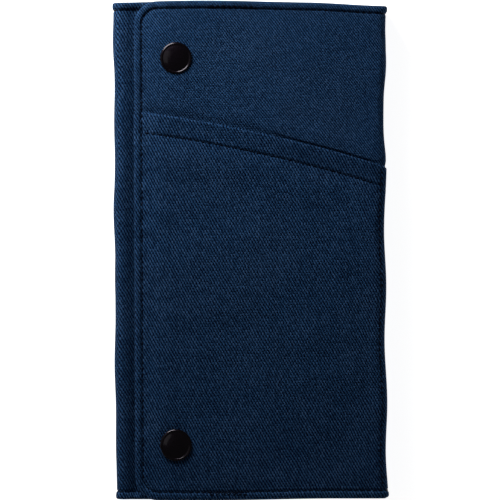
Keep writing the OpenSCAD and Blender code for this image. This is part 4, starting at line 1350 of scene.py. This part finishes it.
# A band of elastic sewn flat at both ends and held open in a loop between them
def makePenLoop():
    turn = np.radians(np.linspace(90 - penLoop["neck"], -270 + penLoop["neck"], 60))
    circle = penLoop["radius"] * np.stack([np.cos(turn), np.sin(turn)], axis=1) + [0, penLoop["height"]]
    level = penHigh[2] - 0.42 * mm
    tail = np.array([[4.4 * mm, level], [3.0 * mm, level], [2.05 * mm, level - 0.03 * mm]])
    path = np.concatenate([tail, circle, tail[::-1] * [-1, 1]])
    y = np.linspace(penLow[1], penHigh[1], 44)
    i, yGrid = np.meshgrid(np.arange(len(path)), y, indexing="ij")
    along = runningLength(path)
    flare = 0.10 * mm * hump(np.minimum(yGrid - penLow[1], penHigh[1] - yGrid), 1.2 * mm)
    direction = unitLength(path - [0, penLoop["height"]])
    xGrid = penMiddle + path[i, 0] + flare * direction[i, 0]
    zGrid = path[i, 1] + flare * direction[i, 1] * (np.abs(path[i, 1] - level) > 0.5 * mm)
    outward = np.stack([direction[i, 0], 0 * xGrid, direction[i, 1]], axis=-1)
    piece = addMesh("pen_loop_elastic", np.stack([xGrid, yGrid, zGrid], -1), gridFaces(*i.shape), elasticTape,
                    np.stack([yGrid, along[i]], -1), outward)
    place(thicken(piece, penLoop["thick"]), "front_cover", ["pen_loop"], "elastic_webbing")
    for side, label in ((-1, "left"), (1, "right")):
        line = np.stack([0 * y + penMiddle + side * penLoop["stitchAt"], y, 0 * y + level], axis=1)
        placeRow(f"pen_loop_{label}_stitches", line, -up, 2.2 * mm, "front_cover", "elastic_webbing")


makePenLoop()

tapeLow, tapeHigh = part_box("ring_tape")
ringLow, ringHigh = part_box("binder_rings")
wireRadius = 1.2 * mm
ring = {
    "wire": wireRadius, "radius": (ringHigh[0] - ringLow[0]) / 2 - wireRadius,
    "x": (ringLow[0] + ringHigh[0]) / 2, "z": (ringLow[2] + ringHigh[2]) / 2,
    "places": (-70 * mm, 0.0, 70 * mm),
    "clasp": 0.24 * mm,      # how much thicker the clasp's sleeve is than the wire
    "tapeTop": 3.0 * mm,
    "tapeSeam": 1.6 * mm,    # from the tape's sides to its stitches
    "strap": 1.98 * mm,      # radius of a strap round the wire
    "strapSeam": 4.6 * mm,   # from the wire to the strap's stitches
}


# The tape under the rings: slack between its stitches, which pull it down, and rounded at its sides
def makeRingTape():
    x = np.linspace(tapeLow[0], tapeHigh[0], 22)
    y = np.linspace(tapeLow[1], tapeHigh[1], 190)
    x, y = np.meshgrid(x, y, indexing="ij")
    fromSide = np.minimum(x - tapeLow[0], tapeHigh[0] - x)
    pulled = 0.12 * mm * hump(fromSide - ring["tapeSeam"], 0.5 * mm) + 0.16 * mm * hump(fromSide, 0.5 * mm)
    z = ring["tapeTop"] - 0.05 * mm - pulled + 0.07 * mm * soften(waves(x, y, 26 * mm, 81))
    piece = addMesh("ring_tape_cloth", np.stack([x, y, z], -1), gridFaces(*x.shape), bindingTape,
                    np.stack([x, y], -1), up)
    place(thicken(piece, 0.5 * mm), "back", ["ring_tape"], "binding_tape")
    for atX, label in ((tapeLow[0] + ring["tapeSeam"], "left"), (tapeHigh[0] - ring["tapeSeam"], "right")):
        line = np.stack([0 * y[0] + atX, y[0], 0 * y[0] + ring["tapeTop"] - 0.14 * mm], axis=1)
        placeRow(f"ring_tape_{label}_stitches", line, up, 2.6 * mm, "back", "binding_tape")


# A short strap over the foot of each ring, with both tails sewn to the tape
def makeStrap(middle, label):
    turn = np.radians(np.linspace(232, -52, 40))
    foot = ringLow[2] + ring["wire"]
    circle = ring["strap"] * np.stack([np.cos(turn), np.sin(turn)], axis=1) + [0, foot]
    level = ring["tapeTop"] + 0.42 * mm
    tail = np.array([[-6.4, -0.1], [-6.0, 0], [-2.6, 0], [-1.7, 0.03]]) * mm + [0, level]
    path = rounded(np.concatenate([tail, circle, tail[::-1] * [-1, 1]]), 0.25 * mm, steps=3)
    x = np.linspace(ring["x"] - 1.5 * mm, ring["x"] + 1.5 * mm, 9)
    i, xGrid = np.meshgrid(np.arange(len(path)), x, indexing="ij")
    along = runningLength(path)
    fromAxis = path - [0, foot]
    aside, above = fromAxis[i, 0] * (path[i, 1] > level), np.maximum(fromAxis[i, 1], 1 * mm)
    points = np.stack([xGrid, middle + path[i, 0], path[i, 1]], -1)
    outward = np.stack([0 * xGrid, aside, above], -1)
    piece = addMesh(f"ring_strap_{label}", points, gridFaces(*i.shape), bindingTape,
                    np.stack([xGrid, along[i]], -1), outward)
    place(thicken(piece, 0.38 * mm), "back", [], "binding_tape")
    for side, end in ((-1, "near"), (1, "far")):
        line = np.stack([x, 0 * x + middle + side * ring["strapSeam"], 0 * x + level], axis=1)
        placeRow(f"ring_strap_{label}_{end}_stitches", line, up, 1.2 * mm, "back", "binding_tape")


# A closed ring of round wire, with a sleeve over its clasp and a fine groove round the sleeve's middle
def makeRing(middle, label):
    turn = np.linspace(0, 2 * np.pi, 160, endpoint=False)
    fromTop = np.abs((turn - np.pi / 2 + np.pi) % (2 * np.pi) - np.pi) * ring["radius"]
    sleeve = ring["clasp"] * (1 - ramp(fromTop, 2.3 * mm, 2.6 * mm)) - 0.10 * mm * hump(fromTop, 0.16 * mm)
    wire = (ring["wire"] + sleeve)[:, None]
    t, p = np.meshgrid(turn, np.linspace(0, 2 * np.pi, 18, endpoint=False), indexing="ij")
    out = ring["radius"] + wire * np.cos(p)
    x, z = ring["x"] + out * np.cos(t), ring["z"] + out * np.sin(t)
    points = np.stack([x, middle + wire * np.sin(p), z], -1)
    return closeEnds(addMesh(label, points, gridFaces(*t.shape, True, True), ringPlastic))


makeRingTape()
for middle, label in zip(ring["places"], ("low", "middle", "high")):
    makeStrap(middle, label)
rings = [makeRing(middle, f"ring{index}") for index, middle in enumerate(ring["places"])]
place(joined("binder_rings_moulded", rings), "back", ["binder_rings"], "ring_plastic")
print("pen loop and rings ready")

# clear pouches

pouch = {
    "gap": 0.30 * mm,        # how far each film stands out from the middle
    "film": 0.10 * mm, "header": 0.7 * mm,   # thicknesses of the film and of the cloth edge
    "overlap": 2.5 * mm,     # how far the film goes into the cloth edge
    "hole": 2.6 * mm, "patch": 14 * mm,      # radius of a hole, and side of the square round it
}


# Two films welded along three sides, as one sheet that goes down the front, round the foot and up the back
def makeFilm(name, body, seed):
    low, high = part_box(f"{name}_film")
    tall = high[1] - low[1]
    x = np.concatenate([
        np.linspace(low[0], low[0] + 6 * mm, 14), np.linspace(low[0] + 8 * mm, high[0] - 3 * mm, 40),
        np.linspace(high[0] - 2 * mm, high[0] + pouch["overlap"], 6),
    ])
    t = np.linspace(0, tall, 110)
    path = np.concatenate([t, tall + t[1:]])
    x, path = np.meshgrid(x, path, indexing="ij")
    y = np.where(path < tall, high[1] - path, low[1] + path - tall)
    face = np.where(path < tall, 1.0, -1.0) * np.clip(np.abs(path - tall) / (0.5 * mm), 0, 1)
    sewn = np.minimum(np.minimum(x - low[0], high[0] - x), y - low[1])
    gap = 0.12 * mm + pouch["gap"] * ramp(sewn, 1.6 * mm, 12 * mm)
    wave = 0.10 * mm * soften(waves(x, y, 46 * mm, seed)) * ramp(np.minimum(sewn, high[1] - y), 0, 25 * mm)
    z = (low[2] + high[2]) / 2 + face * gap + wave
    outward = np.stack([0 * x, 0 * x, np.where(path < tall, 1.0, -1.0)], axis=-1)
    piece = addMesh(f"{name}_film_welded", np.stack([x, y, z], -1), gridFaces(*x.shape), clearFilm,
                    np.stack([np.maximum(sewn, 0), x + y], -1), outward)
    place(thicken(piece, pouch["film"]), body, [f"{name}_film"], "clear_film")


# The square round a hole as rings of points, from the hole's rim to the square's sides
def holedSquare(hole, low, high, count=14, rings=6):
    t = np.linspace(0, 1, count, endpoint=False)
    width, tall = high - low
    square = np.concatenate([
        np.stack([low[0] + width * t, low[1] + 0 * t], 1),
        np.stack([high[0] + 0 * t, low[1] + tall * t], 1),
        np.stack([high[0] - width * t, high[1] + 0 * t], 1),
        np.stack([low[0] + 0 * t, high[1] - tall * t], 1),
    ])
    outward = square - hole
    rim = hole + pouch["hole"] * unitLength(outward)
    share = np.linspace(0, 1, rings)[:, None, None]
    return (1 - share) * rim + share * square


# The pouch's cloth edge, with a round hole for each ring
def makeHeader(name, body):
    low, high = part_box(f"{name}_header")
    middleZ = (low[2] + high[2]) / 2
    drop = middleZ - ring["z"]
    holeX = ring["x"] - np.sqrt(ring["radius"] ** 2 - drop**2)
    parts = []
    top = middleZ + pouch["header"] / 2
    for index, middle in enumerate(ring["places"]):
        lowCorner = np.array([low[0], middle - pouch["patch"] / 2])
        rows = holedSquare(np.array([holeX, middle]), lowCorner, lowCorner + pouch["patch"])
        flat = np.concatenate([rows, np.full(rows[..., :1].shape, top)], axis=-1)
        faces = gridFaces(*rows.shape[:2], closedColumns=True)
        parts.append(addMesh(f"holed{index}", flat, faces, bindingTape, rows, up))
    ends = [low[1], *[m + k * pouch["patch"] / 2 for m in ring["places"] for k in (-1, 1)], high[1]]
    across = np.linspace(low[0], low[0] + pouch["patch"], 15)
    for index in range(0, len(ends), 2):
        x, y = np.meshgrid(across, np.linspace(ends[index], ends[index + 1], 24), indexing="ij")
        flat = np.stack([x, y, 0 * x + top], -1)
        parts.append(addMesh(f"plain{index}", flat, gridFaces(*x.shape), bindingTape, flat[..., :2], up))
    piece = joined(f"{name}_header_tape", parts)
    work = bmesh.new()
    work.from_mesh(piece.data)
    bmesh.ops.remove_doubles(work, verts=work.verts, dist=0.02 * mm)
    work.to_mesh(piece.data)
    work.free()
    thicken(piece, pouch["header"])
    place(piece, body, [f"{name}_header"], "binding_tape")
    for inset, label in ((1.5 * mm, "left"), (high[0] - low[0] - 1.3 * mm, "right")):
        y = np.linspace(low[1] + 1 * mm, high[1] - 1 * mm, 80)
        line = np.stack([0 * y + low[0] + inset, y, 0 * y + top + 0.04 * mm], axis=1)
        placeRow(f"{name}_{label}_stitches", line, up, 2.6 * mm, body, "binding_tape")


# Half the section of the press-to-close strip, which has a ridge on each side of its middle
sealSide = np.array([[2, 0.02], [1.25, 0.03], [1.05, 0.17], [0.65, 0.17], [0.45, 0.03]]) * mm
sealBase = np.array([[-2, -0.12], [2, -0.12]]) * mm
sealShape = np.concatenate([sealBase, sealSide, sealSide[::-1] * [-1, 1]])


# The strip runs straight across the pouch's mouth
def makeSeal(name, body):
    low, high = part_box(f"{name}_seal")
    x = np.linspace(low[0], high[0], 50)
    middle = np.stack([x, 0 * x + (low[1] + high[1]) / 2, 0 * x + (low[2] + high[2]) / 2], axis=1)
    outline = rounded(sealShape, 0.06 * mm, closed=True, steps=3)
    piece = sweep(f"{name}_seal_strip", middle, away, up, outline, sealPlastic)
    place(piece, body, [f"{name}_seal"], "seal_plastic")


for name, seed in (("pouch_1", 91), ("pouch_2", 92)):
    makeFilm(name, name, seed)
    makeHeader(name, name)
    makeSeal(name, name)
print("pouches ready")

# CAD pieces that stay as they are, with a better finish

for node, finish in (("zip_end_stops", sliderMetal), ("snap_springs", nickel)):
    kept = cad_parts[node]
    kept.data.materials.clear()
    kept.data.materials.append(finish)
    edges = kept.modifiers.new("edges", "BEVEL")
    edges.width, edges.segments = 0.08 * mm, 2

# floor, light and camera

stage = {
    "floor": 8.0, "cameraHeight": 2.2,
    "viewWidth": 0.2364, "viewCentre": (0.0, 0.0007),   # what the camera sees at the cover's height
    "world": 0.07,
}
lights = {
    "key": {"place": (-0.20, 0.35, 0.19), "target": (0.0, 0.0, 0.01), "size": 0.24, "power": 2.05},
    "softBox": {"place": (-0.72, 0.26, 1.3), "target": (0.0, 0.0, 0.0), "size": 0.7, "power": 0.62},
}


# A pale floor that glows a little, so that it stays white in the shade
def makeStage():
    material, tree, shader = newMaterial("paleFloor")
    place = addNode(tree, "ShaderNodeTexCoord").outputs["Object"]
    pale = mixColour(tree, noise(tree, place, 3.0), (0.93, 0.93, 0.93, 1), (0.96, 0.96, 0.96, 1))
    tree.links.new(pale, shader.inputs["Base Color"])
    setSockets(shader, {"Roughness": 0.9, "Specular IOR Level": 0.1})
    setSockets(shader, {"Emission Color": (1, 1, 1, 1), "Emission Strength": 0.92})
    half = stage["floor"] / 2
    corners = np.array([[-half, -half, 0], [half, -half, 0], [half, half, 0], [-half, half, 0]])
    addMesh("floor", corners, np.array([[0, 1, 2, 3]]), material, outward=up)


# A square lamp at a place, turned to its target
def addLight(name, spec):
    lamp = bpy.data.lights.new(name, "AREA")
    lamp.size, lamp.energy = spec["size"], spec["power"]
    holder = bpy.data.objects.new(name, lamp)
    bpy.context.collection.objects.link(holder)
    holder.location = spec["place"]
    aim = mathutils.Vector(spec["target"]) - mathutils.Vector(spec["place"])
    holder.rotation_euler = aim.to_track_quat("-Z", "Y").to_euler()


# The camera looks straight down; its lens is as long as the view's width asks for at the cover's height
def makeCamera():
    lens = bpy.data.cameras.new("camera")
    lens.sensor_width = 36
    height = stage["cameraHeight"]
    lens.lens = lens.sensor_width * (height - case["coverTop"]) / stage["viewWidth"]
    lens.clip_end = 20
    holder = bpy.data.objects.new("camera", lens)
    bpy.context.collection.objects.link(holder)
    holder.location = (*stage["viewCentre"], height)
    bpy.context.scene.camera = holder


# Even white light from all round
def makeWorld():
    world = bpy.data.worlds.new("studio")
    world.use_nodes = True
    setSockets(world.node_tree.nodes["Background"], {"Color": (1, 1, 1, 1), "Strength": stage["world"]})
    bpy.context.scene.world = world
    bpy.context.scene.view_settings.view_transform = "Standard"


makeStage()
for name, spec in lights.items():
    addLight(name, spec)
makeCamera()
makeWorld()
